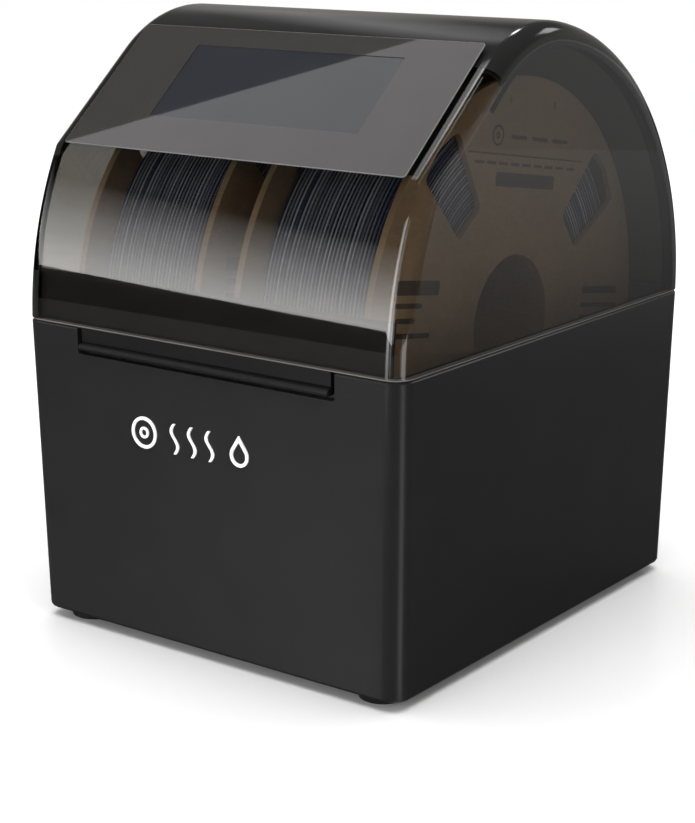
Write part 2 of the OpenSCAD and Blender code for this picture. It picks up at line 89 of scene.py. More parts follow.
# ------------------------------------------------------------------ materials
def new_mat(name):
    m = bpy.data.materials.new(name)
    m.use_nodes = True
    nt = m.node_tree
    for nd in list(nt.nodes):
        nt.nodes.remove(nd)
    out = nt.nodes.new("ShaderNodeOutputMaterial")
    return m, nt, out


def noise(nt, vec, scale, detail=3.0, rough=0.5, dist=0.0):
    nd = nt.nodes.new("ShaderNodeTexNoise")
    nd.inputs["Scale"].default_value = scale
    nd.inputs["Detail"].default_value = detail
    nd.inputs["Roughness"].default_value = rough
    nd.inputs["Distortion"].default_value = dist
    nt.links.new(vec, nd.inputs["Vector"])
    return nd.outputs["Fac"]


def ramp(nt, fac, stops):
    nd = nt.nodes.new("ShaderNodeValToRGB")
    els = nd.color_ramp.elements
    while len(els) > 1:
        els.remove(els[-1])
    els[0].position = stops[0][0]
    els[0].color = stops[0][1]
    for p, c in stops[1:]:
        e = els.new(p)
        e.color = c
    nt.links.new(fac, nd.inputs["Fac"])
    return nd.outputs["Color"]


def maprange(nt, fac, a, b, lo=0.0, hi=1.0):
    nd = nt.nodes.new("ShaderNodeMapRange")
    nd.inputs["From Min"].default_value = lo
    nd.inputs["From Max"].default_value = hi
    nd.inputs["To Min"].default_value = a
    nd.inputs["To Max"].default_value = b
    nt.links.new(fac, nd.inputs["Value"])
    return nd.outputs["Result"]


def g(c, a=1.0):
    return (c[0], c[1], c[2], a)


def plastic(name, col, rough=0.42, var=0.15, grain=2600.0, bump=0.06, spec=0.5, coat=0.0, metallic=0.0, dirt=60.0, rvar=0.06, alpha=1.0, stretch=None):
    """Moulded plastic, rubber or metal: colour drift, fine spark-eroded grain in bump and roughness."""
    m, nt, out = new_mat(name)
    bs = nt.nodes.new("ShaderNodeBsdfPrincipled")
    tc = nt.nodes.new("ShaderNodeTexCoord")
    vec = tc.outputs["Object"]
    if stretch:
        mp = nt.nodes.new("ShaderNodeMapping")
        mp.inputs["Scale"].default_value = stretch
        nt.links.new(vec, mp.inputs["Vector"])
        vec = mp.outputs["Vector"]
    f1 = noise(nt, vec, dirt, 4, 0.6)
    lo = [max(0, c * (1 - var)) for c in col]
    hi = [min(1, c * (1 + var)) for c in col]
    nt.links.new(ramp(nt, f1, [(0.3, g(lo)), (0.7, g(hi))]), bs.inputs["Base Color"])
    f2 = noise(nt, vec, grain, 2, 0.5)
    nt.links.new(maprange(nt, f2, rough - rvar, rough + rvar, 0.3, 0.7), bs.inputs["Roughness"])
    bp = nt.nodes.new("ShaderNodeBump")
    bp.inputs["Strength"].default_value = bump
    bp.inputs["Distance"].default_value = 0.0002
    nt.links.new(f2, bp.inputs["Height"])
    nt.links.new(bp.outputs["Normal"], bs.inputs["Normal"])
    bs.inputs["Specular IOR Level"].default_value = spec
    bs.inputs["Metallic"].default_value = metallic
    bs.inputs["Coat Weight"].default_value = coat
    bs.inputs["Coat Roughness"].default_value = 0.05
    bs.inputs["Alpha"].default_value = alpha
    nt.links.new(bs.outputs[0], out.inputs[0])
    return m


def smoke(name, near, far, gloss=0.085, rough=0.02):
    """Tinted clear acrylic: see-through, denser where the wall is seen at a flat angle, with a glossy skin."""
    m, nt, out = new_mat(name)
    tr = nt.nodes.new("ShaderNodeBsdfTransparent")
    gl = nt.nodes.new("ShaderNodeBsdfGlossy")
    gl.inputs["Color"].default_value = (1, 1, 1, 1)
    tc = nt.nodes.new("ShaderNodeTexCoord")
    f = noise(nt, tc.outputs["Object"], 60, 3, 0.6)
    nt.links.new(maprange(nt, f, rough, rough + 0.02, 0.35, 0.75), gl.inputs["Roughness"])
    lw = nt.nodes.new("ShaderNodeLayerWeight")
    lw.inputs["Blend"].default_value = 0.5
    c = [[near[k] + (far[k] - near[k]) * q for k in range(3)] for q in (0.0, 0.22, 0.75, 1.0)]
    nt.links.new(ramp(nt, lw.outputs["Facing"], [(0.0, g(c[0])), (0.5, g(c[1])), (0.8, g(c[2])), (1.0, g(c[3]))]), tr.inputs["Color"])
    pw = nt.nodes.new("ShaderNodeMath")
    pw.operation = "POWER"
    pw.inputs[1].default_value = 5
    nt.links.new(lw.outputs["Facing"], pw.inputs[0])
    fac = maprange(nt, pw.outputs[0], gloss, 0.7)
    mx = nt.nodes.new("ShaderNodeMixShader")
    nt.links.new(fac, mx.inputs[0])
    nt.links.new(tr.outputs[0], mx.inputs[1])
    nt.links.new(gl.outputs[0], mx.inputs[2])
    nt.links.new(mx.outputs[0], out.inputs[0])
    return m


def kraft(name, col):
    m, nt, out = new_mat(name)
    bs = nt.nodes.new("ShaderNodeBsdfPrincipled")
    tc = nt.nodes.new("ShaderNodeTexCoord")
    mp = nt.nodes.new("ShaderNodeMapping")
    mp.inputs["Scale"].default_value = (1, 1, 5)
    nt.links.new(tc.outputs["Object"], mp.inputs["Vector"])
    f1 = noise(nt, mp.outputs["Vector"], 260, 6, 0.7, 0.6)
    f2 = noise(nt, tc.outputs["Object"], 22, 3, 0.6)
    f3 = noise(nt, tc.outputs["Object"], 1900, 2, 0.6)
    c1 = ramp(nt, f1, [(0.25, g([c * 0.74 for c in col])), (0.5, g(col)), (0.78, g([min(1, c * 1.22) for c in col]))])
    c2 = ramp(nt, f2, [(0.3, (0.86, 0.86, 0.86, 1)), (0.7, (1.06, 1.05, 1.04, 1))])
    mix = nt.nodes.new("ShaderNodeMix")
    mix.data_type = "RGBA"
    mix.blend_type = "MULTIPLY"
    mix.inputs["Factor"].default_value = 1
    nt.links.new(c1, mix.inputs["A"])
    nt.links.new(c2, mix.inputs["B"])
    nt.links.new(mix.outputs["Result"], bs.inputs["Base Color"])
    nt.links.new(maprange(nt, f3, 0.72, 0.9), bs.inputs["Roughness"])
    bp = nt.nodes.new("ShaderNodeBump")
    bp.inputs["Strength"].default_value = 0.35
    bp.inputs["Distance"].default_value = 0.0002
    nt.links.new(f1, bp.inputs["Height"])
    nt.links.new(bp.outputs["Normal"], bs.inputs["Normal"])
    nt.links.new(bs.outputs[0], out.inputs[0])
    return m


def filament(name, dark, light):
    """Wound filament: each turn with a tone of its own, with painted shade in the valley and a painted highlight on
    the crest of every turn.
    """
    m, nt, out = new_mat(name)
    bs = nt.nodes.new("ShaderNodeBsdfPrincipled")
    uv = nt.nodes.new("ShaderNodeUVMap")
    uv.uv_map = "turns"
    groove_shade_crest_highlight = nt.nodes.new("ShaderNodeTexWave")
    groove_shade_crest_highlight.wave_type = "BANDS"
    groove_shade_crest_highlight.bands_direction = "X"
    groove_shade_crest_highlight.inputs["Scale"].default_value = math.pi / 10
    groove_shade_crest_highlight.inputs["Distortion"].default_value = 0.0
    nt.links.new(uv.outputs[0], groove_shade_crest_highlight.inputs["Vector"])
    mp = nt.nodes.new("ShaderNodeMapping")
    mp.inputs["Scale"].default_value = (1, 2.2, 1)
    nt.links.new(uv.outputs[0], mp.inputs["Vector"])
    f1 = noise(nt, mp.outputs["Vector"], 0.93, 1.0, 0.6)
    mix = nt.nodes.new("ShaderNodeMix")
    mix.data_type = "RGBA"
    mix.blend_type = "MULTIPLY"
    mix.inputs["Factor"].default_value = 1
    mid = [dark[k] * 0.5 + light[k] * 0.5 for k in range(3)]
    nt.links.new(ramp(nt, f1, [(0.34, g([q * 1.6 for q in dark])), (0.5, g(mid)), (0.62, g(light))]), mix.inputs["A"])
    # painted shade and painted highlight: each turn darkened in its valley and lifted above white on its crest
    nt.links.new(ramp(nt, groove_shade_crest_highlight.outputs["Fac"], [(0.05, (0.12, 0.12, 0.14, 1)), (0.55, (0.6, 0.6, 0.62, 1)), (0.92, (1.2, 1.2, 1.18, 1))]), mix.inputs["B"])
    nt.links.new(mix.outputs["Result"], bs.inputs["Base Color"])
    tc = nt.nodes.new("ShaderNodeTexCoord")
    f2 = noise(nt, tc.outputs["Object"], 900, 2, 0.5)
    nt.links.new(maprange(nt, f2, 0.2, 0.32), bs.inputs["Roughness"])
    bs.inputs["Specular IOR Level"].default_value = 0.7
    nt.links.new(bs.outputs[0], out.inputs[0])
    return m


MAT = {
    "base_plastic": plastic("base_plastic", (0.0105, 0.0105, 0.011), 0.3, 0.10, 3600, 0.012, 0.38, rvar=0.02),
    "underside_plastic": plastic("underside_plastic", (0.016, 0.016, 0.016), 0.55, 0.15, 1800, 0.15),
    "foot_rubber": plastic("foot_rubber", (0.012, 0.012, 0.012), 0.75, 0.2, 1500, 0.2, 0.3),
    "screw_steel": plastic("screw_steel", (0.5, 0.5, 0.49), 0.32, 0.1, 3000, 0.05, metallic=1.0),
    "tub_plastic": plastic("tub_plastic", (0.035, 0.035, 0.037), 0.5, 0.15, 1600, 0.15),
    "gasket_silicone": plastic("gasket_silicone", (0.02, 0.02, 0.02), 0.6, 0.2, 1200, 0.15, 0.4),
    "bracket_plastic": plastic("bracket_plastic", (0.05, 0.05, 0.052), 0.5, 0.15, 1800, 0.15),
    "axle_steel": plastic("axle_steel", (0.6, 0.6, 0.61), 0.25, 0.08, 2600, 0.04, metallic=1.0, stretch=(0.05, 1, 1)),
    "heater_fins": plastic("heater_fins", (0.66, 0.66, 0.65), 0.36, 0.1, 1400, 0.08, metallic=1.0),
    "fan_plastic": plastic("fan_plastic", (0.018, 0.018, 0.019), 0.5, 0.15, 1800, 0.12),
    "board_green": plastic("board_green", (0.015, 0.1, 0.045), 0.35, 0.3, 700, 0.1),
    "sensor_white": plastic("sensor_white", (0.7, 0.7, 0.69), 0.5, 0.06, 1500, 0.1),
    "fitting_plastic": plastic("fitting_plastic", (0.016, 0.016, 0.0165), 0.46, 0.15, 1900, 0.14),
    "brass_pin": plastic("brass_pin", (0.72, 0.52, 0.2), 0.28, 0.08, 2500, 0.04, metallic=1.0),
    "magnet_nickel": plastic("magnet_nickel", (0.6, 0.59, 0.56), 0.22, 0.06, 2500, 0.03, metallic=1.0),
    "emblem_silver": plastic("emblem_silver", (0.86, 0.86, 0.87), 0.3, 0.03, 2600, 0.04, 0.6),
    "liner_black": plastic("liner_black", (0.055, 0.055, 0.057), 0.34, 0.1, 1500, 0.06, 0.5),
    "band_black": plastic("band_black", (0.066, 0.066, 0.071), 0.45, 0.1, 1500, 0.04, 0.4, alpha=0.97),
    "tab_black": plastic("tab_black", (0.005, 0.005, 0.0055), 0.4, 0.12, 3600, 0.012, 0.3),
    "panel_black": plastic("panel_black", (0.028, 0.0255, 0.0255), 0.014, 0.05, 700, 0.0, 0.5, rvar=0.006),
    "lcd_glass": plastic("lcd_glass", (0.017, 0.0185, 0.0215), 0.014, 0.06, 700, 0.0, 0.5, rvar=0.006),
    "cardboard": kraft("cardboard", (0.60, 0.43, 0.27)),
    "filament_blue": filament("filament_blue", (0.045, 0.055, 0.15), (0.7, 0.76, 0.95)),
    "roller_plastic": plastic("roller_plastic", (0.09, 0.09, 0.093), 0.45, 0.12, 1800, 0.12),
    "bush_white": plastic("bush_white", (0.74, 0.74, 0.72), 0.4, 0.05, 1800, 0.06),
    "rocker_plastic": plastic("rocker_plastic", (0.32, 0.016, 0.012), 0.25, 0.1, 1500, 0.03, 0.5),
    "lid_clear": smoke("lid_clear", (0.66, 0.65, 0.63), (0.06, 0.058, 0.055)),
}
# opaque dark skin: the lid's dark smoke over the top and back, and painted shade on the left fillet and left-facing
# faces only
DARK_SKIN_AND_PAINTED_SHADE = plastic("lid_dark_skin_and_painted_shade", (0.010, 0.010, 0.0098), 0.12, 0.08, 1200, 0.0, 0.6, rvar=0.02)
# lighter grey for the lid's lower cut edge: a painted highlight that draws the light seam line
SEAM_PAINTED_HIGHLIGHT = plastic("lid_seam_painted_highlight", (0.15, 0.142, 0.132), 0.45, 0.12, 900, 0.05, 0.5)
# lighter grey for the display cover's edge: a painted highlight, a thin light outline round the black glass
PANEL_EDGE_PAINTED_HIGHLIGHT = plastic("panel_edge_painted_highlight", (0.13, 0.13, 0.128), 0.3, 0.08, 1500, 0.0, 0.5)
PRINT = plastic("print_ink", (0.125, 0.1, 0.076), 0.7, 0.25, 1500, 0.1)
SLOTS = {s["node"]: s["material_slot"] for s in frame["record"]["subparts"]}


# ------------------------------------------------------------------ mesh helpers
def add_mesh(name, verts, faces, body, nodes=(), slot=None, mat=None, angle=30.0, bevel=0.0):
    me = bpy.data.meshes.new(name)
    me.from_pydata([tuple(v) for v in verts], [], faces)
    me.update()
    bm = bmesh.new()
    bm.from_mesh(me)
    bmesh.ops.remove_doubles(bm, verts=bm.verts, dist=1e-7)
    bmesh.ops.recalc_face_normals(bm, faces=bm.faces)
    bm.to_mesh(me)
    bm.free()
    return finish_mesh(name, me, body, nodes, slot, mat, angle, bevel)


def finish_mesh(name, me, body, nodes=(), slot=None, mat=None, angle=30.0, bevel=0.0):
    me.polygons.foreach_set("use_smooth", [True] * len(me.polygons))
    me.set_sharp_from_angle(angle=rad(angle))
    o = bpy.data.objects.new(name, me)
    bpy.context.collection.objects.link(o)
    if mat is None and slot:
        mat = MAT[slot]
    if mat is not None and not me.materials:
        me.materials.append(mat)
    if bevel:
        md = o.modifiers.new("edge", "BEVEL")
        md.width = bevel / 1000
        md.segments = 3
        md.limit_method = "ANGLE"
        md.angle_limit = rad(35)
        md.harden_normals = True
    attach(o, body)
    if nodes:
        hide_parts(*nodes)
    return o


def tube_rows(rows, closed_row=True, cap=True):
    """Quads between successive rows of equal length."""
    n = len(rows[0])
    verts = [p for r in rows for p in r]
    faces = []
    for k in range(len(rows) - 1):
        for j in range(n if closed_row else n - 1):
            a, b = k * n + j, k * n + (j + 1) % n
            faces.append((a, b, b + n, a + n))
    if cap:
        faces.append(tuple(range(n))[::-1])
        faces.append(tuple((len(rows) - 1) * n + j for j in range(n)))
    return verts, faces


def rrect(hw, hd, r, n=12):
    pts = []
    for cx, cy, a0 in ((hw - r, -hd + r, -90), (hw - r, hd - r, 0), (-hw + r, hd - r, 90), (-hw + r, -hd + r, 180)):
        for k in range(n + 1):
            a = rad(a0 + 90 * k / n)
            pts.append((cx + r * math.cos(a), cy + r * math.sin(a)))
    return pts


def cut(obj, cutters):
    """Boolean difference, applied, with the cutters removed."""
    for c in cutters:
        md = obj.modifiers.new("cut", "BOOLEAN")
        md.operation = "DIFFERENCE"
        md.solver = "EXACT"
        md.object = c
    dg = bpy.context.evaluated_depsgraph_get()
    me = bpy.data.meshes.new_from_object(obj.evaluated_get(dg))
    obj.modifiers.clear()
    old = obj.data
    obj.data = me
    bpy.data.meshes.remove(old)
    for c in cutters:
        m = c.data
        bpy.data.objects.remove(c)
        bpy.data.meshes.remove(m)


def raw_obj(name, verts, faces):
    me = bpy.data.meshes.new(name)
    me.from_pydata([tuple(v) for v in verts], [], faces)
    bm = bmesh.new()
    bm.from_mesh(me)
    bmesh.ops.recalc_face_normals(bm, faces=bm.faces)
    bm.to_mesh(me)
    bm.free()
    o = bpy.data.objects.new(name, me)
    bpy.context.collection.objects.link(o)
    return o


def cutter_box(x0, x1, y0, y1, z0, z1, r=0.0, axis="y"):
    """Box cutter, with corners rounded by r about the given axis."""
    if axis == "y":
        cx, cz = (x0 + x1) / 2, (z0 + z1) / 2
        o = rrect((x1 - x0) / 2, (z1 - z0) / 2, max(r, 0.01), 6)
        rows = [[V(cx + p[0], y, cz + p[1]) for p in o] for y in (y0, y1)]
    else:
        cx, cy = (x0 + x1) / 2, (y0 + y1) / 2
        o = rrect((x1 - x0) / 2, (y1 - y0) / 2, max(r, 0.01), 6)
        rows = [[V(cx + p[0], cy + p[1], z) for p in o] for z in (z0, z1)]
    v, f = tube_rows(rows)
    return raw_obj("cutter", v, f)


def cutter_cyl(c, r, y0, y1, n=48):
    rows = [[V(c[0] + r * math.cos(2 * math.pi * k / n), y, c[1] + r * math.sin(2 * math.pi * k / n)) for k in range(n)] for y in (y0, y1)]
    v, f = tube_rows(rows)
    return raw_obj("cutter", v, f)


def lathe(name, prof, c, axis, body, nodes=(), slot=None, n=64, angle=30.0, closed=False):
    """Revolves (r, h) pairs about an axis through c. A closed profile makes a ring."""
    rows = []
    for k in range(n):
        a = 2 * math.pi * k / n
        row = []
        for r, h in prof:
            p = (r * math.cos(a), r * math.sin(a))
            if axis == "x":
                row.append(V(c[0] + h, c[1] + p[0], c[2] + p[1]))
            elif axis == "y":
                row.append(V(c[0] + p[0], c[1] + h, c[2] + p[1]))
            else:
                row.append(V(c[0] + p[0], c[1] + p[1], c[2] + h))
        rows.append(row)
    m = len(prof)
    verts = [p for r in rows for p in r]
    faces = []
    for k in range(n):
        for j in range(m if closed else m - 1):
            a, b = k * m + j, k * m + (j + 1) % m
            c2, d = ((k + 1) % n) * m + (j + 1) % m, ((k + 1) % n) * m + j
            faces.append((a, b, c2, d))
    return add_mesh(name, verts, faces, body, nodes, slot, angle=angle)


# ------------------------------------------------------------------ lid profile (y, z above the seam)
SL = rad(40)
FC = (50.0, -3.0)
FR = math.hypot(FC[0] + D, FC[1])
BC = (-12.0, 3.0)
BR = math.hypot(D - BC[0], BC[1])
BL = 65.0
FD = 112.0
NN = (-math.sin(SL), math.cos(SL))
TT = (math.cos(SL), math.sin(SL))
BA = math.pi / 2 + SL - math.acos((FD - BL - (NN[0] * BC[0] + NN[1] * BC[1])) / (BR - BL))
BLC = (BC[0] + (BR - BL) * math.cos(BA), BC[1] + (BR - BL) * math.sin(BA))
WALL = 2.5


def knee(i):
    s = NN[0] * FC[0] + NN[1] * FC[1] - (FD - i)
    h = math.sqrt((FR - i) ** 2 - s * s)
    return (FC[0] - s * NN[0] - h * TT[0], FC[1] - s * NN[1] - h * TT[1])


def arc(c, r, a0, a1, n):
    return [(c[0] + r * math.cos(a0 + (a1 - a0) * k / n), c[1] + r * math.sin(a0 + (a1 - a0) * k / n)) for k in range(n + 1)]


def front_arc(i, n, z0=0.0, z1=None):
    r = FR - i
    k = knee(i)
    a1 = math.atan2(k[1] - FC[1], k[0] - FC[0]) if z1 is None else math.pi - math.asin((z1 - FC[1]) / r)
    return arc(FC, r, math.pi - math.asin((z0 - FC[1]) / r), a1, n)


def top_path(i, nb=16, nk=64, z0=0.0, a_start=None):
    a0 = math.pi / 2 + SL if a_start is None else a_start
    b = arc(BLC, BL - i, a0, BA, nb)
    k = arc(BC, BR - i, BA, math.asin((z0 - BC[1]) / (BR - i)), nk)
    return b + k[1:]


def prof(i, z0=0.0, nf=26):
    f = front_arc(i, nf, z0)
    kn = f[-1]
    t1 = top_path(i, z0=z0)
    mid = [(kn[0] + (t1[0][0] - kn[0]) * q / 4, kn[1] + (t1[0][1] - kn[1]) * q / 4) for q in (1, 2, 3)]
    return f + mid + t1


K0 = knee(0)
PO = (K0[0] + 2 * NN[0] - 1.2 * TT[0], K0[1] + 2 * NN[1] - 1.2 * TT[1])


def PANEL(x, u, h):
    return V(x, PO[0] + u * TT[0] + h * NN[0], SEAM + PO[1] + u * TT[1] + h * NN[1])


def fillet_layers(w, m=10):
    """(x, inset) pairs across the lid, from the left side face to the right one."""
    half = [(W - RC + (RC - w) * math.sin(rad(90 * k / m)), w + (RC - w) * (1 - math.cos(rad(90 * k / m)))) for k in range(m, -1, -1)]
    return [(-x, i) for x, i in half] + [(x, i) for x, i in half[::-1]]


def loop_of(layers, z):
    f = [(x, front_arc(i, 1, z)[0][0]) for x, i in layers]
    b = [(x, top_path(i, z0=z)[-1][0]) for x, i in layers]
    return f + b[::-1]


def shrink(loop, d):
    n = len(loop)
    out = []
    for k in range(n):
        p, q, r = loop[k - 1], loop[k], loop[(k + 1) % n]
        e1 = Vector((q[0] - p[0], q[1] - p[1])).normalized()
        e2 = Vector((r[0] - q[0], r[1] - q[1])).normalized()
        t = (e1 + e2).normalized()
        nrm = Vector((-t[1], t[0]))
        s = d / max(0.5, abs(nrm.dot(Vector((-e1[1], e1[0])))))
        out.append((q[0] + nrm[0] * s, q[1] + nrm[1] * s))
    return out


def build_lid_shell():
    verts, faces = [], []

    def skin(layers, z0):
        base = len(verts)
        n = 0
        for x, i in layers:
            pr = prof(i, z0)
            n = len(pr)
            for p in pr:
                verts.append(V(x, p[0], SEAM + p[1]))
        for k in range(len(layers) - 1):
            for j in range(n - 1):
                a = base + k * n + j
                faces.append((a, a + 1, a + 1 + n, a + n))
        faces.append(tuple(base + j for j in range(n)))
        faces.append(tuple(base + (len(layers) - 1) * n + j for j in range(n))[::-1])
        m = len(layers)
        return [base + k * n for k in range(m)] + [base + k * n + n - 1 for k in range(m - 1, -1, -1)]

    lo = fillet_layers(0.0)
    lo = [(-W, 9.6)] + lo + [(W, 9.6)]
    li = fillet_layers(WALL)
    li = [li[0]] + li + [li[-1]]
    li[0] = (li[0][0], 9.6)
    li[-1] = (li[-1][0], 9.6)
    z_ch = 0.7
    outer = skin(lo, z_ch)
    inner = skin(li, z_ch)
    l1 = shrink(loop_of(lo, 0.0), 0.5)
    l2 = shrink(loop_of(li, 0.0), -0.4)
    b1 = len(verts)
    verts.extend(V(p[0], p[1], SEAM + 0.02) for p in l1)
    b2 = len(verts)
    verts.extend(V(p[0], p[1], SEAM + 0.02) for p in l2)
    n = len(outer)
    for a, b in ((outer, list(range(b1, b1 + n))), (list(range(b1, b1 + n)), list(range(b2, b2 + n))), (list(range(b2, b2 + n)), inner)):
        for j in range(n):
            faces.append((a[j], a[(j + 1) % n], b[(j + 1) % n], b[j]))
    o = add_mesh("lid_shell_clear", verts, faces, "lid", ["lid_shell"], "lid_clear", angle=16)
    me = o.data
    me.materials.append(DARK_SKIN_AND_PAINTED_SHADE)
    me.materials.append(SEAM_PAINTED_HIGHLIGHT)
    # faces over the top and back take the opaque dark skin; on the left side only, the fillet and the faces turned to
    # the left take it too, painted shade where the clear wall only looks dark
    for p in me.polygons:
        c, n = p.center, p.normal
        y, z = c.y * 1000 - YS * 1000, c.z * 1000 - SEAM
        facing_out = n.dot(Vector((c.x * 0.8, (y + 5) / 1000, (z + 10) / 1000))) > 0
        # lower cut edge faces: painted highlight for the light seam line
        if z < 0.7:
            p.material_index = 2
        elif len(p.vertices) == 4 and facing_out and (y > -47 or n.x < -0.7 or (c.x < -0.0865 and (y > -92 or z < 20.5))):
            p.material_index = 1
    return o


def thick_sheet(name, rows, t, body, nodes, slot, angle=30, offset=-1.0):
    verts, faces = tube_rows(rows, closed_row=False, cap=False)
    me = bpy.data.meshes.new(name)
    me.from_pydata([tuple(v) for v in verts], [], faces)
    me.update()
    o = finish_mesh(name, me, body, nodes, slot, angle=angle)
    md = o.modifiers.new("thickness", "SOLIDIFY")
    md.thickness = t / 1000
    md.offset = offset
    md.use_even_offset = True
    return o


def build_liner():
    w2 = WALL + 0.12
    # wrap over the top and back, round the side edges, with a lip down each side face
    half = [(W - w2, i) for i in (9.8, 9.0)] + [(W - RC + (RC - w2) * math.sin(rad(90 * k / 9)), w2 + (RC - w2) * (1 - math.cos(rad(90 * k / 9)))) for k in range(9, -1, -1)]
    layers = [(-x, i) for x, i in half] + [(x, i) for x, i in half[::-1]]
    rows = []
    for x, i in layers:
        rows.append([V(x, p[0], SEAM + p[1]) for p in top_path(i, 14, 64, 1.2, rad(129.3))])
    wrap = thick_sheet("lid_liner_back", rows, 1.5, "lid", ["lid_liner"], "liner_black", 25, 1.0)
    # flat part behind the display panel
    rows = []
    for x in (-84, -58, 61, 84):
        kn = knee(w2)
        t1 = top_path(w2, 8, 4, 0, None)
        end = [p for p in arc(BLC, BL - w2, math.pi / 2 + SL, rad(119.5), 4)]
        kn = (kn[0] + 4.5 * TT[0], kn[1] + 4.5 * TT[1])
        rows.append([V(x, p[0], SEAM + p[1]) for p in [kn] + end])
    flat = thick_sheet("lid_liner_slope", rows, 1.5, "lid", ["lid_liner"], "liner_black", 25, 1.0)
    return wrap, flat


def build_band():
    rows = []
    n = 60
    ends = [2.1, 1.4, 0.6]
    xs = [-87 - t for t in ends] + [-86.9 + 173.8 * k / n for k in range(n + 1)] + [87 + t for t in reversed(ends)]
    ri = RC - WALL
    for x in xs:
        # the ends follow the inside of the lid's rounded corners
        d = ri - math.sqrt(ri * ri - max(0.0, abs(x) - 87) ** 2)
        rows.append([V(x, p[0], SEAM + p[1]) for p in front_arc(WALL + 0.12 + d, 10, 0.25, 21.0)])
    return thick_sheet("lid_band_strip", rows, 1.2, "lid", ["lid_band"], "band_black", 25, 1.0)


def build_panel():
    """Cover glass with a rounded outline; the display field is a face region of its own."""
    a0, b0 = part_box("display_panel")
    hw = (b0[0] - a0[0]) * 500
    L = 68.8
    T = 2.0
    r = 1.6
    out = rrect(hw, L / 2, r, 8)
    layers = [(0.0, -T + 0.35), (-0.0, -T + 0.35), (0.0, -0.5)]
    rows = []
    for ins, h in ((1.75, -T + 0.02), (1.6, -T + 0.04), (0.12, -0.55), (0.0, -0.35), (0.08, -0.12), (0.3, 0.0)):
        loop = rrect(hw - ins, L / 2 - ins, max(0.3, r - ins), 8)
        rows.append([PANEL(p[0], L / 2 + p[1], h) for p in loop])
    verts, faces = tube_rows(rows, cap=False)
    n = len(rows[0])
    faces.append(tuple(range(n))[::-1])
    # top face round the display field
    top = [(len(rows) - 1) * n + j for j in range(n)]
    x0, x1, u0, u1 = -50.0, 53.0, 18.5, 58.5
    fb = len(verts)
    # recess edge: a fine 0.15 mm step down to the display field
    for h in (0.0, -0.25):
        for x, u in ((x1, u0), (x1, u1), (x0, u1), (x0, u0)):
            verts.append(PANEL(x, u, h))
    q = [fb, fb + 1, fb + 2, fb + 3]
    per = n // 4
    corner = [top[k * per:(k + 1) * per] for k in range(4)]  # right-front, right-back, left-back, left-front
    faces.append(tuple(corner[0] + corner[1][:1] + [q[1], q[0]]))
    faces.append(tuple(corner[1] + corner[2][:1] + [q[2], q[1]]))
    faces.append(tuple(corner[2] + corner[3][:1] + [q[3], q[2]]))
    faces.append(tuple(corner[3] + corner[0][:1] + [q[0], q[3]]))
    for k in range(4):
        a, b = q[k], q[(k + 1) % 4]
        faces.append((a, b, b + 4, a + 4))
    faces.append((fb + 4, fb + 5, fb + 6, fb + 7))
    me = bpy.data.meshes.new("display_cover")
    me.from_pydata([tuple(v) for v in verts], [], faces)
    bm = bmesh.new()
    bm.from_mesh(me)
    bmesh.ops.recalc_face_normals(bm, faces=bm.faces)
    bm.to_mesh(me)
    bm.free()
    me.materials.append(MAT["panel_black"])
    me.materials.append(MAT["lcd_glass"])
    me.materials.append(PANEL_EDGE_PAINTED_HIGHLIGHT)
    for p in me.polygons:
        # edge and bevel rows of the outline: painted highlight as a thin light line
        if 0 < p.index < 10 ** 6 and len(p.vertices) == 4 and all(k >= 2 * n for k in p.vertices) and all(k < 6 * n for k in p.vertices):
            p.material_index = 2
        vs = [me.vertices[i].co for i in p.vertices]
        if len(vs) == 4:
            c = sum(vs, Vector()) / 4
            w = max(v.x for v in vs) - min(v.x for v in vs)
            if abs(w - 0.103) < 1e-4 and (max(v.z for v in vs) - min(v.z for v in vs)) > 0.02:
                p.material_index = 1
    return finish_mesh("display_cover", me, "lid", ["display_panel"], "panel_black", angle=25)


def build_base():
    rows = []
    H = SEAM - FOOT
    def half(z):
        return DRAFT * (SEAM - z) / H
    c = 0.8
    prof_out = [(FOOT, 1.4), (FOOT + 0.4, 0.6), (FOOT + 1.4, 0.0)]
    zs = [FOOT + 1.4 + (H - 1.4 - 1.3) * k / 6 for k in range(1, 7)]
    seq = prof_out + [(z, 0.0) for z in zs] + [(SEAM - 0.95, 0.02), (SEAM - 0.1, 0.85), (SEAM - 0.03, 1.05), (SEAM - 0.03, 2.6)] + [(SEAM - 0.5, 3.0), (FOOT + 3.2, 3.0), (FOOT, 3.0)]
    for z, ins in seq:
        d = half(z) + ins
        rows.append([V(p[0], p[1], z) for p in rrect(W - d, D - d, max(1.0, RC - ins), 14)])
    verts, faces = tube_rows(rows, cap=False)
    n = len(rows[0])
    last = (len(rows) - 1) * n
    for j in range(n):
        faces.append((last + j, last + (j + 1) % n, (j + 1) % n, j))
    o = add_mesh("base_housing", verts, faces, "base", BASE, "base_plastic", angle=30)
    nw = 65.0
    cs = [cutter_box(-nw, nw, -D - 3, -D + 5.5, SEAM - 11, SEAM + 8, 1.2)]
    for x in (-41, 41):
        cs.append(cutter_cyl((x, 98), 6.05, D - 8, D + 3))
    for k in range(7):
        cs.append(cutter_box(-18, 18, D - 8, D + 3, 29 + k * 4.6, 31 + k * 4.6, 0.9))
    cs.append(cutter_box(-76.1, -47.9, D - 8, D + 3, 33.9, 54.1, 1))
    cs.append(cutter_box(-38.6, -25.4, D - 8, D + 3, 34.3, 53.7, 1))
    cut(o, cs)
    o.data.polygons.foreach_set("use_smooth", [True] * len(o.data.polygons))
    o.data.set_sharp_from_angle(angle=rad(30))
    return o


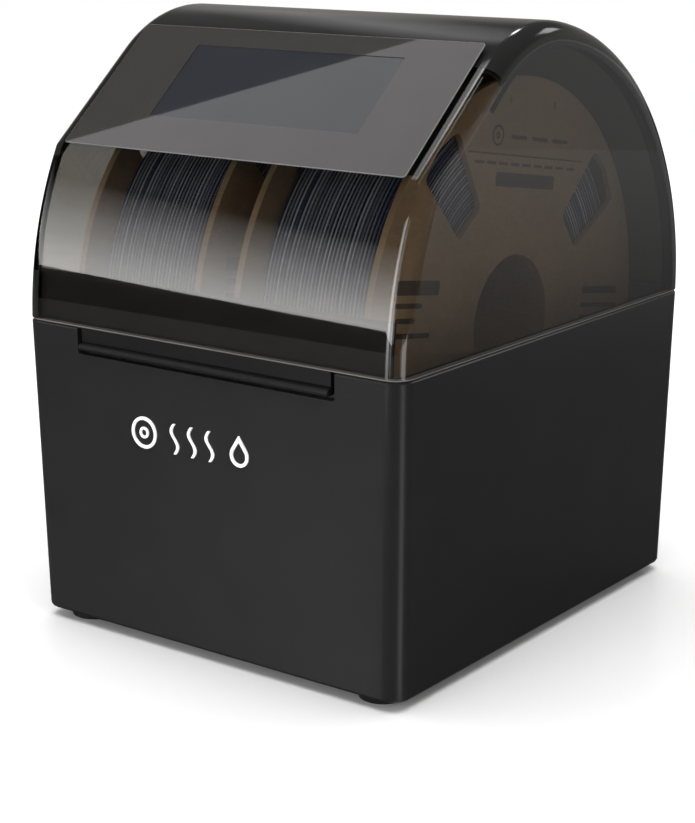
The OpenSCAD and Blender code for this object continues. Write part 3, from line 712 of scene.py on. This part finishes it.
def build_tab():
    """Pull tab: a plate behind the notch with a rolled lip along its lower edge."""
    a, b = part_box("handle_tab")
    x0, x1 = a[0] * 1000, b[0] * 1000
    yb = b[1] * 1000 - YS * 1000
    yf = a[1] * 1000 - YS * 1000
    zb = a[2] * 1000
    pts = [(yb, SEAM - 0.05), (yb, zb + 0.5), (yb - 0.5, zb)]
    pts += [(yf + 1.5 + 1.5 * math.cos(t), zb + 1.35 + 1.35 * math.sin(t)) for t in [rad(270 - 12 * k) for k in range(0, 14)]]
    pts += [(yf + 1.7, zb + 2.8), (-D + 0.75, zb + 3.1), (-D + 0.45, zb + 3.6), (-D + 0.4, SEAM - 0.05)]
    rows = []
    for k, (x, s) in enumerate([(x0, 0.5), (x0 + 0.15, 0.15), (x0 + 0.5, 0), (x1 - 0.5, 0), (x1 - 0.15, 0.15), (x1, 0.5)]):
        cy = sum(p[0] for p in pts) / len(pts)
        row = []
        for p in pts:
            d = Vector((p[0] - (yb - 1.2), p[1] - (zb + 5)))
            ln = d.length
            q = d * (ln - s) / ln
            row.append(V(x, yb - 1.2 + q[0], zb + 5 + q[1]))
        rows.append(row)
    v, f = tube_rows(rows)
    return add_mesh("handle_tab_lip", v, f, "lid", ["handle_tab"], "tab_black", angle=28)


# ------------------------------------------------------------------ spools
SPA = 35.0  # angle of the first window


def flange_mesh(name, x, body, node, prints):
    c = centre(node)
    cz, cy = c[2], c[1]
    cu = bpy.data.curves.new(name, "CURVE")
    cu.dimensions = "2D"
    cu.fill_mode = "BOTH"
    cu.extrude = (3.0 / 2 - 0.25) / 1000
    cu.bevel_depth = 0.25 / 1000
    cu.bevel_resolution = 2
    cu.offset = -0.25 / 1000
    def poly(pts):
        s = cu.splines.new("POLY")
        s.points.add(len(pts) - 1)
        for q, p in zip(s.points, pts):
            q.co = (p[0] / 1000, p[1] / 1000, 0, 1)
        s.use_cyclic_u = True
    R = (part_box(node)[1][2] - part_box(node)[0][2]) * 500
    poly([(R * math.cos(2 * math.pi * k / 200), R * math.sin(2 * math.pi * k / 200)) for k in range(200)])
    poly([(HUB * math.cos(2 * math.pi * k / 96), HUB * math.sin(2 * math.pi * k / 96)) for k in range(96)])
    for w in range(4):
        a = rad(SPA + 90 * w)
        pts = round_pts([(54, -9.5), (89.5, -14), (92.5, 0), (89.5, 14), (54, 9.5)], 3.2, 7)
        poly([(p[0] * math.cos(a) - p[1] * math.sin(a), p[0] * math.sin(a) + p[1] * math.cos(a)) for p in pts])
    for s in (-17, 17):
        pts = [(s + 0.9 * math.cos(t) * (1 if True else 1), 88.4 + 1.9 * math.sin(t)) for t in [2 * math.pi * k / 20 for k in range(20)]]
        poly([(p[0] * math.cos(rad(-9)) - p[1] * math.sin(rad(-9)), p[0] * math.sin(rad(-9)) + p[1] * math.cos(rad(-9))) for p in pts])
    tmp = bpy.data.objects.new(name + "_tmp", cu)
    bpy.context.collection.objects.link(tmp)
    dg = bpy.context.evaluated_depsgraph_get()
    me = bpy.data.meshes.new_from_object(tmp.evaluated_get(dg))
    bpy.data.objects.remove(tmp)
    bpy.data.curves.remove(cu)
    # curve plane (X, Y) -> (Y, Z), thickness along X
    M = Matrix(((0, 0, 1, x / 1000), (1, 0, 0, cy / 1000 + YS), (0, 1, 0, cz / 1000), (0, 0, 0, 1)))
    me.transform(M)
    bm = bmesh.new()
    bm.from_mesh(me)
    bmesh.ops.remove_doubles(bm, verts=bm.verts, dist=1e-6)
    bmesh.ops.recalc_face_normals(bm, faces=bm.faces)
    bm.to_mesh(me)
    bm.free()
    me.materials.clear()
    return finish_mesh(name, me, body, [node], "cardboard", angle=35)


def round_pts(p, r, n):
    out = []
    m = len(p)
    for k in range(m):
        P, A, B = Vector(p[k]), Vector(p[k - 1]), Vector(p[(k + 1) % m])
        u, v = (A - P).normalized(), (B - P).normalized()
        h = math.acos(max(-1, min(1, u.dot(v)))) / 2
        c = P + (u + v).normalized() * (r / math.sin(h))
        s, e = P + u * (r / math.tan(h)) - c, P + v * (r / math.tan(h)) - c
        t0, t1 = math.atan2(s[1], s[0]), math.atan2(e[1], e[0])
        d = (t1 - t0 + math.pi) % (2 * math.pi) - math.pi
        out += [(c[0] + r * math.cos(t0 + d * j / n), c[1] + r * math.sin(t0 + d * j / n)) for j in range(n + 1)]
    return out


def winding_mesh(name, node, body, seed):
    """One continuous winding: scalloped turns across the top, layered strands down both sides."""
    c = centre(node)
    a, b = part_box(node)
    hw = (b[0] - a[0]) * 500 - 0.15
    R = (b[2] - a[2]) * 500
    r_in = HUB + 4.15
    pitch = 1.78
    nturn = int(2 * hw / pitch)
    d = 1.75 / 2
    n_ang = 150
    prof_side = []
    layers = int((R - r_in) / 1.66)
    rows = []
    for k in range(n_ang):
        t = k / n_ang
        a_ = 2 * math.pi * t
        row, tones = [], []
        # left side: strand layers from the core outwards
        def side(sgn):
            pts = []
            for q in range(layers):
                for s in range(4):
                    f = (q + s / 4) * 1.66 + t * 1.66 * (1 if sgn > 0 else 1)
                    rr = r_in + min(f, R - r_in - 0.9)
                    wob = 0.35 * math.sin(q * 2.1 + seed + 3 * a_ * ((q * 7 + seed) % 3 - 1)) * 0.5
                    depth = 0.55 * abs(math.sin(math.pi * (q + s / 4)))
                    pts.append((rr, sgn * (hw - 0.75 + depth + wob * 0.2), q + s / 4))
            return pts
        left = side(-1)
        top = []
        for j in range(nturn + 1):
            for s in range(6):
                ph = (j + s / 6)
                x = -hw + 0.75 + (ph + t - 1) * pitch
                if x < -hw + 0.75:
                    x = -hw + 0.75
                if x > hw - 0.75:
                    x = hw - 0.75
                bump = math.sqrt(max(0.0, 1 - (2 * (s / 6) - 1) ** 2)) * d
                drop = 0.0
                if (j * 5 + seed) % 11 == 3:
                    drop = 0.18
                wav = 0.12 * math.sin(2 * a_ + j * 0.9 + seed) + 0.1 * math.sin(5 * a_ + j * 1.7)
                top.append((R - d - 0.05 + bump * 0.95 - drop + wav * 0.35 - 0.15, x + wav * 0.6, 100 + ph))
        right = side(1)[::-1]
        for r, h, tone in left + top + right:
            r = min(r, R)
            tones.append(tone)
            row.append(V(c[0] + max(-hw, min(hw, h)), c[1] + r * math.cos(a_), c[2] + r * math.sin(a_)))
        rows.append(row)
    m = len(rows[0])
    verts = [p for r in rows for p in r]
    faces = []
    for k in range(n_ang):
        for j in range(m):
            a1, b1 = k * m + j, k * m + (j + 1) % m
            c1, d1 = ((k + 1) % n_ang) * m + (j + 1) % m, ((k + 1) % n_ang) * m + j
            faces.append((a1, b1, c1, d1))
    me = bpy.data.meshes.new(name)
    me.from_pydata(verts, [], faces)
    me.update()
    uvl = me.uv_layers.new(name="turns")
    for p in me.polygons:
        last = p.index // m == n_ang - 1
        js = [me.loops[li].vertex_index % m for li in p.loop_indices]
        top_face = max(tones[j] for j in js) - min(tones[j] for j in js) < 2
        for li, j in zip(p.loop_indices, js):
            row_k = me.loops[li].vertex_index // m
            t = 1.0 if last and row_k == 0 else row_k / n_ang
            uvl.data[li].uv = (tones[j] if top_face else tones[js[0]], t)
    bm = bmesh.new()
    bm.from_mesh(me)
    bmesh.ops.recalc_face_normals(bm, faces=bm.faces)
    bm.to_mesh(me)
    bm.free()
    return finish_mesh(name, me, body, [node], "filament_blue", angle=80)


def bar(verts, faces, x, a0, a1, b0, b1, r, cy, cz, th):
    """Flat printed patch with rounded corners on a flange face, in the print's own (a, b) axes."""
    ca, sa = math.cos(rad(-9)), math.sin(rad(-9))
    cx, cb = (a0 + a1) / 2, (b0 + b1) / 2
    loop = rrect((a1 - a0) / 2, (b1 - b0) / 2, r, 3)
    base = len(verts)
    for xx in (x, x + th):
        for p in loop:
            a, b = cx + p[0], cb + p[1]
            verts.append(V(xx, cy + a * ca - b * sa, cz + a * sa + b * ca))
    n = len(loop)
    for j in range(n):
        faces.append((base + j, base + (j + 1) % n, base + n + (j + 1) % n, base + n + j))
    faces.append(tuple(base + n + j for j in range(n)))
    faces.append(tuple(base + j for j in range(n))[::-1])


def ring_patch(verts, faces, x, ca_, cb_, ro, ri, cy, cz, th, n=40, a0=0, a1=360):
    ca, sa = math.cos(rad(-9)), math.sin(rad(-9))
    base = len(verts)
    for k in range(n + 1):
        t = rad(a0 + (a1 - a0) * k / n)
        for xx in (x, x + th):
            for r in (ro, ri):
                a, b = ca_ + r * math.cos(t), cb_ + r * math.sin(t)
                verts.append(V(xx, cy + a * ca - b * sa, cz + a * sa + b * ca))
    for k in range(n):
        o = base + k * 4
        p = o + 4
        for q in ((0, 1), (1, 3), (3, 2), (2, 0)):
            faces.append((o + q[0], o + q[1], p + q[1], p + q[0]))


def build_prints(name, x, sgn, body, node):
    c = centre(node)
    cy, cz = c[1], c[2]
    v, f = [], []
    th = 0.06 * sgn
    # generic pictogram: spool ring, hub and three strokes
    ring_patch(v, f, x, -24, 74.2, 4.2, 3.3, cy, cz, th)
    ring_patch(v, f, x, -24, 74.2, 1.4, 0.6, cy, cz, th)
    for k, (p, q) in enumerate(((-14, -2), (2, 14), (18, 30))):
        bar(v, f, x, p, q, 73.4, 75.0, 0.7, cy, cz, th)
    bar(v, f, x, -44, 44, 66.6, 67.3, 0.3, cy, cz, th)
    for k in range(9):
        bar(v, f, x, -39 + k * 8.8, -39 + k * 8.8 + 6.8, 62.8, 64.0, 0.5, cy, cz, th)
    bar(v, f, x, -22.5, 22.5, 54.4, 60.0, 1.0, cy, cz, th)
    bar(v, f, x, -84, -55, 11.4, 17.0, 1.0, cy, cz, th)
    for b0, p, q in ((6.4, -84, -66), (0.7, -83, -70), (-5.0, -83, -59)):
        bar(v, f, x, p, q, b0, b0 + 2.0, 0.8, cy, cz, th)
    bar(v, f, x, 56, 86, 11.5, 14.6, 0.8, cy, cz, th)
    for b0, p, q in ((5.6, 56, 87), (0.2, 56, 80), (-5.2, 56, 84)):
        bar(v, f, x, p, q, b0, b0 + 1.8, 0.8, cy, cz, th)
    return add_mesh(name, v, f, body, (), None, PRINT, angle=30)


HUB = (lambda a: a)(27.5)
core_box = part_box("spool_left_core")
HUB = (core_box[1][2] - core_box[0][2]) * 500 - 4.0

build_lid_shell()
build_liner()
build_band()
build_panel()
build_tab()
build_base()

for side in ("left", "right"):
    body = "spool_" + side
    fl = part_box(body + "_flanges")
    x0, x1 = fl[0][0] * 1000, fl[1][0] * 1000
    flange_mesh(body + "_flange_a", x0 + 1.5, body, body + "_flanges", False)
    flange_mesh(body + "_flange_b", x1 - 1.5, body, body + "_flanges", True)
    build_prints(body + "_print_b", x1 - 0.01, 1, body, body + "_flanges")
    build_prints(body + "_print_a", x0 + 0.01, -1, body, body + "_flanges")
    winding_mesh(body + "_wound", body + "_winding", body, 3 if side == "left" else 8)
    cc = centre(body + "_core")
    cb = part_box(body + "_core")
    hwc = (cb[1][0] - cb[0][0]) * 500
    lathe(body + "_tube", [(HUB, -hwc), (HUB + 0.3, -hwc), (HUB + 3.7, -hwc), (HUB + 4.0, -hwc + 0.3), (HUB + 4.0, hwc - 0.3), (HUB + 3.7, hwc), (HUB + 0.3, hwc), (HUB, hwc - 0.3), (HUB, -hwc + 0.3)], cc, "x", body, [body + "_core"], "cardboard", 96, closed=True)

# feet: turned pads with a soft lower edge
fa, fb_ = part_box("feet")
fr_ = 9.5
fcx = (fb_[0] - fa[0]) * 500 - fr_
fcy = (fb_[1] - fa[1]) * 500 - fr_
for k, (sx, sy) in enumerate(((-1, -1), (1, -1), (1, 1), (-1, 1))):
    lathe("foot_%d" % (k + 1), [(0.0, 0.15), (fr_ - 3.2, 0.15), (fr_ - 2.6, 0.0), (fr_ - 1.1, 0.0), (fr_ - 0.35, 0.3), (fr_, 1.0), (fr_, FOOT - 0.05), (0.0, FOOT - 0.05)], (sx * fcx, sy * fcy, 0), "z", "base", ["feet"], "foot_rubber", 56, angle=40)

# countersunk screws in the hinge leaves
HEAD = [(0.0, -0.35), (0.75, -0.35), (0.85, 0.1), (1.8, 0.12), (2.25, -0.05), (2.35, -0.35), (2.35, -0.9), (0.0, -0.9)]
for s_ in (-1, 1):
    for dx in (-11, 11):
        tag = "%d" % (s_ * 56 + dx)
        lathe("base_hinge_screw_" + tag, HEAD, (s_ * 56 + dx, D + 2.05, SEAM - 14.5), "y", "base", (), "screw_steel", 40)
        lathe("lid_hinge_screw_" + tag, HEAD, (s_ * 56 + dx, BC[0] + (BR + 1.95) * math.cos(rad(5.2)), SEAM + BC[1] + (BR + 1.95) * math.sin(rad(5.2))), "y", "lid", (), "screw_steel", 40)

# ------------------------------------------------------------------ CAD nodes that stay: better materials, soft edges
BEVELS = {"front_emblem": 0.22, "power_inlet": 0.5, "switch_body": 0.5, "power_rocker": 0.4, "base_hinge_leaves": 0.35, "lid_hinge_leaves": 0.35, "outlet_fittings": 0.3, "axle_brackets": 0.4, "display_housing": 0.5, "air_grille": 0.25, "fan_frame": 0.4, "bottom_plate": 0.3, "base_magnets": 0.2, "lid_magnets": 0.2, "humidity_sensor": 0.15, "rim_gasket": 0.3}
for node, ob in frame["nodes"].items():
    sl = SLOTS[node]
    m = MAT[sl]
    if ob.material_slots:
        for s in ob.material_slots:
            s.material = m
    else:
        ob.data.materials.append(m)
    if node in BEVELS:
        md = ob.modifiers.new("weld", "WELD")
        md.merge_threshold = 0.000005
        md = ob.modifiers.new("edge", "BEVEL")
        md.width = BEVELS[node] / 1000
        md.segments = 2
        md.limit_method = "ANGLE"
        md.angle_limit = rad(40)

# ------------------------------------------------------------------ stage and light
sc = bpy.context.scene
sc.view_settings.view_transform = "Standard"
sc.view_settings.look = "None"


def stage_mesh(name, pts, mat, camera=True):
    me = bpy.data.meshes.new(name)
    me.from_pydata([tuple(p) for p in pts], [], [tuple(range(len(pts)))])
    me.materials.append(mat)
    o = bpy.data.objects.new(name, me)
    bpy.context.collection.objects.link(o)
    return o


def floor_mat():
    """White sweep: matt with a weak polish near the object, pure white further out."""
    m, nt, out = new_mat("floor")
    d1 = nt.nodes.new("ShaderNodeBsdfDiffuse")
    d1.inputs["Color"].default_value = (0.8, 0.8, 0.8, 1)
    gl = nt.nodes.new("ShaderNodeBsdfGlossy")
    gl.inputs["Roughness"].default_value = 0.07
    gl.inputs["Color"].default_value = (1, 1, 1, 1)
    m1 = nt.nodes.new("ShaderNodeMixShader")
    m1.inputs[0].default_value = 0.22
    nt.links.new(d1.outputs[0], m1.inputs[1])
    nt.links.new(gl.outputs[0], m1.inputs[2])
    tc = nt.nodes.new("ShaderNodeTexCoord")
    mp = nt.nodes.new("ShaderNodeMapping")
    mp.inputs["Scale"].default_value = (1.45, 1.45, 1.45)
    nt.links.new(tc.outputs["Object"], mp.inputs["Vector"])
    gr = nt.nodes.new("ShaderNodeTexGradient")
    gr.gradient_type = "SPHERICAL"
    nt.links.new(mp.outputs["Vector"], gr.inputs["Vector"])
    em = nt.nodes.new("ShaderNodeEmission")
    em.inputs["Strength"].default_value = 1.3
    m3 = nt.nodes.new("ShaderNodeMixShader")
    lpc = nt.nodes.new("ShaderNodeLightPath")
    mu = nt.nodes.new("ShaderNodeMath")
    mu.operation = "MULTIPLY"
    nt.links.new(maprange(nt, gr.outputs["Fac"], 1.0, 0.0, 0.0, 0.45), mu.inputs[0])
    nt.links.new(lpc.outputs["Is Camera Ray"], mu.inputs[1])
    nt.links.new(mu.outputs[0], m3.inputs[0])
    nt.links.new(m1.outputs[0], m3.inputs[1])
    nt.links.new(em.outputs[0], m3.inputs[2])
    d2 = nt.nodes.new("ShaderNodeBsdfDiffuse")
    d2.inputs["Color"].default_value = (0.05, 0.05, 0.05, 1)

    def side_of(px, py, nx, ny, stops):
        dt = nt.nodes.new("ShaderNodeVectorMath")
        dt.operation = "DOT_PRODUCT"
        dt.inputs[1].default_value = (nx, ny, 0)
        nt.links.new(tc.outputs["Object"], dt.inputs[0])
        c = px * nx + py * ny
        return ramp(nt, maprange(nt, dt.outputs["Value"], 0.0, 1.0, c - 0.02, c + 0.38), stops)

    def times(a, b):
        m = nt.nodes.new("ShaderNodeMix")
        m.data_type = "RGBA"
        m.blend_type = "MULTIPLY"
        m.inputs["Factor"].default_value = 1
        nt.links.new(a, m.inputs["A"])
        nt.links.new(b, m.inputs["B"])
        return m.outputs["Result"]

    def grey(*stops):
        return [(p_, (v_, v_, v_, 1)) for p_, v_ in stops]

    # what the base reflects: paler floor before the front, and a narrow pale sector beyond the corner
    hard = grey((0.04, 0.0), (0.06, 1.0))
    front = times(side_of(0.082, -0.112 + YS, -0.87, 0.5, grey((0.04, 0.0), (0.06, 0.5), (0.18, 0.36), (0.45, 0.13), (0.8, 0.02))), side_of(0, -0.11 + YS, 0, -1, grey((0.04, 0.0), (0.06, 1.0), (0.88, 1.0), (1.0, 0.0))))
    corner = times(side_of(0.092, -0.102 + YS, 0.454, 0.891, hard), side_of(0.092, -0.102 + YS, -0.105, -0.995, hard))
    e1_ = nt.nodes.new("ShaderNodeEmission")
    nt.links.new(front, e1_.inputs["Color"])
    e1_.inputs["Strength"].default_value = 1.0
    e2_ = nt.nodes.new("ShaderNodeEmission")
    nt.links.new(corner, e2_.inputs["Color"])
    e2_.inputs["Strength"].default_value = 1.6
    a1_ = nt.nodes.new("ShaderNodeAddShader")
    a2_ = nt.nodes.new("ShaderNodeAddShader")
    nt.links.new(e1_.outputs[0], a1_.inputs[0])
    nt.links.new(e2_.outputs[0], a1_.inputs[1])
    nt.links.new(a1_.outputs[0], a2_.inputs[0])
    nt.links.new(d2.outputs[0], a2_.inputs[1])
    lp = nt.nodes.new("ShaderNodeLightPath")
    m2 = nt.nodes.new("ShaderNodeMixShader")
    nt.links.new(lp.outputs["Is Glossy Ray"], m2.inputs[0])
    nt.links.new(m3.outputs[0], m2.inputs[1])
    nt.links.new(a2_.outputs[0], m2.inputs[2])
    nt.links.new(m2.outputs[0], out.inputs[0])
    return m


stage_mesh("floor", [(1.6 * math.cos(2 * math.pi * k / 48), 1.6 * math.sin(2 * math.pi * k / 48), 0) for k in range(48)], floor_mat())

world = bpy.data.worlds.new("world")
sc.world = world
world.use_nodes = True
nt = world.node_tree
for nd in list(nt.nodes):
    nt.nodes.remove(nd)
wo = nt.nodes.new("ShaderNodeOutputWorld")
b_cam = nt.nodes.new("ShaderNodeBackground")
b_cam.inputs["Color"].default_value = (1, 1, 1, 1)
b_cam.inputs["Strength"].default_value = 1.0
b_dif = nt.nodes.new("ShaderNodeBackground")
b_dif.inputs["Color"].default_value = (1, 1, 1, 1)
b_dif.inputs["Strength"].default_value = 0.4
b_glo = nt.nodes.new("ShaderNodeBackground")
b_glo.inputs["Strength"].default_value = 1.0
tcw = nt.nodes.new("ShaderNodeTexCoord")
spw = nt.nodes.new("ShaderNodeSeparateXYZ")
nt.links.new(tcw.outputs["Generated"], spw.inputs[0])
# reflections: dim room, paler low down behind the object
zr = ramp(nt, spw.outputs["Z"], [(0.0, (0.02, 0.02, 0.02, 1)), (0.02, (0.30, 0.293, 0.286, 1)), (0.30, (0.275, 0.268, 0.262, 1)), (0.46, (0.09, 0.09, 0.09, 1)), (1.0, (0.07, 0.07, 0.07, 1))])
yr = ramp(nt, spw.outputs["Y"], [(0.15, (0.16, 0.16, 0.16, 1)), (0.5, (1, 1, 1, 1))])
mm_ = nt.nodes.new("ShaderNodeMix")
mm_.data_type = "RGBA"
mm_.blend_type = "MULTIPLY"
mm_.inputs["Factor"].default_value = 1
nt.links.new(zr, mm_.inputs["A"])
nt.links.new(yr, mm_.inputs["B"])
nt.links.new(mm_.outputs["Result"], b_glo.inputs["Color"])
lp = nt.nodes.new("ShaderNodeLightPath")
mw = nt.nodes.new("ShaderNodeMixShader")
mw2 = nt.nodes.new("ShaderNodeMixShader")
nt.links.new(lp.outputs["Is Glossy Ray"], mw.inputs[0])
nt.links.new(b_dif.outputs[0], mw.inputs[1])
nt.links.new(b_glo.outputs[0], mw.inputs[2])
nt.links.new(lp.outputs["Is Camera Ray"], mw2.inputs[0])
nt.links.new(mw.outputs[0], mw2.inputs[1])
nt.links.new(b_cam.outputs[0], mw2.inputs[2])
nt.links.new(mw2.outputs[0], wo.inputs[0])


def card(name, corners, stops, strength, across=None):
    """Light card: a quad with a vertical brightness ramp, seen by reflections and by light only."""
    m, nt, out = new_mat(name)
    em = nt.nodes.new("ShaderNodeEmission")
    em.inputs["Strength"].default_value = strength
    uv = nt.nodes.new("ShaderNodeUVMap")
    uv.uv_map = "ramp"
    sp = nt.nodes.new("ShaderNodeSeparateXYZ")
    nt.links.new(uv.outputs[0], sp.inputs[0])
    col = ramp(nt, sp.outputs["Y"], [(p, (v, v, v, 1)) for p, v in stops])
    if across:
        mx = nt.nodes.new("ShaderNodeMix")
        mx.data_type = "RGBA"
        mx.blend_type = "MULTIPLY"
        mx.inputs["Factor"].default_value = 1
        nt.links.new(col, mx.inputs["A"])
        nt.links.new(ramp(nt, sp.outputs["X"], [(p, (v, v, v, 1)) for p, v in across]), mx.inputs["B"])
        col = mx.outputs["Result"]
    nt.links.new(col, em.inputs["Color"])
    see = nt.nodes.new("ShaderNodeBsdfTransparent")
    ad = nt.nodes.new("ShaderNodeAddShader")
    nt.links.new(em.outputs[0], ad.inputs[0])
    nt.links.new(see.outputs[0], ad.inputs[1])
    nt.links.new(ad.outputs[0], out.inputs[0])
    me = bpy.data.meshes.new(name)
    me.from_pydata([tuple(p) for p in corners], [], [(0, 1, 2, 3)])
    uvl = me.uv_layers.new(name="ramp")
    for k, q in enumerate(((0, 0), (1, 0), (1, 1), (0, 1))):
        uvl.data[k].uv = q
    me.materials.append(m)
    o = bpy.data.objects.new(name, me)
    bpy.context.collection.objects.link(o)
    o.visible_camera = False
    o.visible_shadow = False
    return o


def reflect(p, nrm):
    d = (Vector(p) - cam.location).normalized()
    n = Vector(nrm).normalized()
    return d - 2 * d.dot(n) * n


# card reflected in the curved front window: brightest low down, fading upwards
pw = Vector(V(0, -104, SEAM + 21))
az_r = math.atan2(-0.575, -0.80)
dirh = Vector((-0.575, -0.80, 0)).normalized()
side_v = Vector((-dirh.y, dirh.x, 0))
R1 = 1.6
c0 = pw + dirh * R1
za, zb = pw.z + 0.15, pw.z - 0.10
card("card_front", [c0 - side_v * 1.5 + Vector((0, 0, za - c0.z)), c0 + side_v * 1.5 + Vector((0, 0, zb - c0.z)), c0 + side_v * 1.5 + Vector((0, 0, 1.0)), c0 - side_v * 1.5 + Vector((0, 0, 1.1))],
     [(0.0, 0.98), (0.1, 0.8), (0.24, 0.48), (0.42, 0.19), (0.62, 0.0)], 2.9)


# card whose edge crosses the display panel as a diagonal
pn = (0, NN[0], NN[1])
L0, L1 = (-48.5, 17.6), (50.6, 67.0)
LD = ((L1[0] - L0[0]), (L1[1] - L0[1]))
LN = (LD[1] * 0.9, -LD[0] * 0.9)


def seen(x, u, r=1.5):
    """Where the display panel's surface at (x, u) shows its reflection, r metres away."""
    p = Vector(PANEL(x, u, 0))
    return p + reflect(p, pn) * r


q0 = seen(L0[0] - 1.3 * LD[0], L0[1] - 1.3 * LD[1])
q1 = seen(L1[0] + 1.0 * LD[0], L1[1] + 1.0 * LD[1])
q2 = seen(L1[0] + 1.0 * LD[0] + 2.6 * LN[0], L1[1] + 1.0 * LD[1] + 2.6 * LN[1])
q3 = seen(L0[0] - 1.3 * LD[0] + 2.6 * LN[0], L0[1] - 1.3 * LD[1] + 2.6 * LN[1])
card("card_panel", [q0, q1, q2, q3], [(0.0, 1.0), (1.0, 0.8)], 1.35)

def far_card(name, p, direction, dist, hx, hy, stops, strength, across=None):
    """Card facing point p from the given direction, with half sizes hx and hy."""
    d = Vector(direction).normalized()
    o = Vector(V(*p)) + d * dist
    u = Vector((d.y, -d.x, 0))
    u = u.normalized() if u.length > 1e-3 else Vector((1, 0, 0))
    v = u.cross(d).normalized()
    if v.z < 0:
        v = -v
    c = card(name, [o - u * hx - v * hy, o + u * hx - v * hy, o + u * hx + v * hy, o - u * hx + v * hy], stops, strength, across)
    c.visible_diffuse = False
    return c


SOFT = [(0.0, 0.0), (0.35, 0.8), (0.5, 1.0), (0.65, 0.8), (1.0, 0.0)]
# small lights picked up by the chamfers and the rounded rim on the right
far_card("card_edge", (W, 0, SEAM), (0.26, 0.776, 0.575), 1.7, 0.2, 0.16, [(0.0, 1.0), (1.0, 1.0)], 3.0)
far_card("card_rim", (88, -25, 249), (-0.40, 0.60, 0.69), 1.5, 0.07, 0.10, [(0.0, 1.0), (1.0, 1.0)], 11.0)
far_card("card_slope", (88, -65, 222), (-0.33, 0.0, 0.94), 1.2, 0.16, 0.13, SOFT, 5.0, SOFT)
# soft light over the top of the lid, strongest in the middle
far_card("card_top", (20, -22, 250), (-0.59, 0.58, 0.55), 0.6, 0.26, 0.24, [(0.0, 0.1), (0.5, 0.75), (0.85, 0.9), (1.0, 0.0)], 0.8, [(0.0, 0.0), (0.36, 0.05), (0.54, 1.0), (0.66, 0.5), (0.76, 0.0), (1.0, 0.0)])
# upright strip that draws the light line down the right front corner
sx, sy = 0.088 + 0.44 * math.sin(rad(-15)), -0.106 - 0.44 * math.cos(rad(-15)) + YS
cf = card("card_corner", [(sx - 0.085, sy - 0.02, 0.012), (sx - 0.085, sy - 0.02, 0.46), (sx + 0.075, sy + 0.02, 0.46), (sx + 0.075, sy + 0.02, 0.012)], [(0.0, 0.0), (0.3, 0.7), (0.55, 1.0), (0.8, 0.6), (1.0, 0.0)], 4.5, [(0.0, 0.25), (0.3, 0.8), (0.6, 1.0), (1.0, 0.7)])
cf.visible_diffuse = False
# low card behind on the right: the pale floor as the side of the lid reflects it
rd = Vector((0.575, 0.776, 0)).normalized()
sd = Vector((0.776, -0.575, 0))
rc_ = Vector(V(W, 0, 0)) + rd * 0.36
oc = card("card_side", [rc_ - sd * 0.22 - rd * 0.0 + Vector((0, 0, 0.036)), rc_ + sd * 0.16 + Vector((0, 0, 0.036)), rc_ + sd * 0.16 + Vector((0, 0, 0.26)), rc_ - sd * 0.22 + Vector((0, 0, 0.26))],
          [(0.0, 0.08), (0.2, 0.35), (0.5, 0.8), (1.0, 1.0)], 0.36)
oc.visible_diffuse = False


def area(name, loc, target, size, energy, size_y=None, glossy=True):
    ld = bpy.data.lights.new(name, "AREA")
    ld.shape = "RECTANGLE" if size_y else "SQUARE"
    ld.size = size
    if size_y:
        ld.size_y = size_y
    ld.energy = energy
    o = bpy.data.objects.new(name, ld)
    o.location = loc
    o.rotation_euler = (Vector(target) - Vector(loc)).to_track_quat("-Z", "Y").to_euler()
    bpy.context.collection.objects.link(o)
    o.visible_camera = False
    o.visible_glossy = glossy
    return o


area("overhead", (0.0, 0.1, 2.2), (0, 0.1, 0), 2.8, 100, glossy=False)
area("key", (-0.1, -2.4, 0.8), (0, 0, 0.12), 1.3, 27, glossy=False)
area("side", (2.3, -0.5, 1.2), (0, 0, 0.2), 1.2, 15, glossy=False)
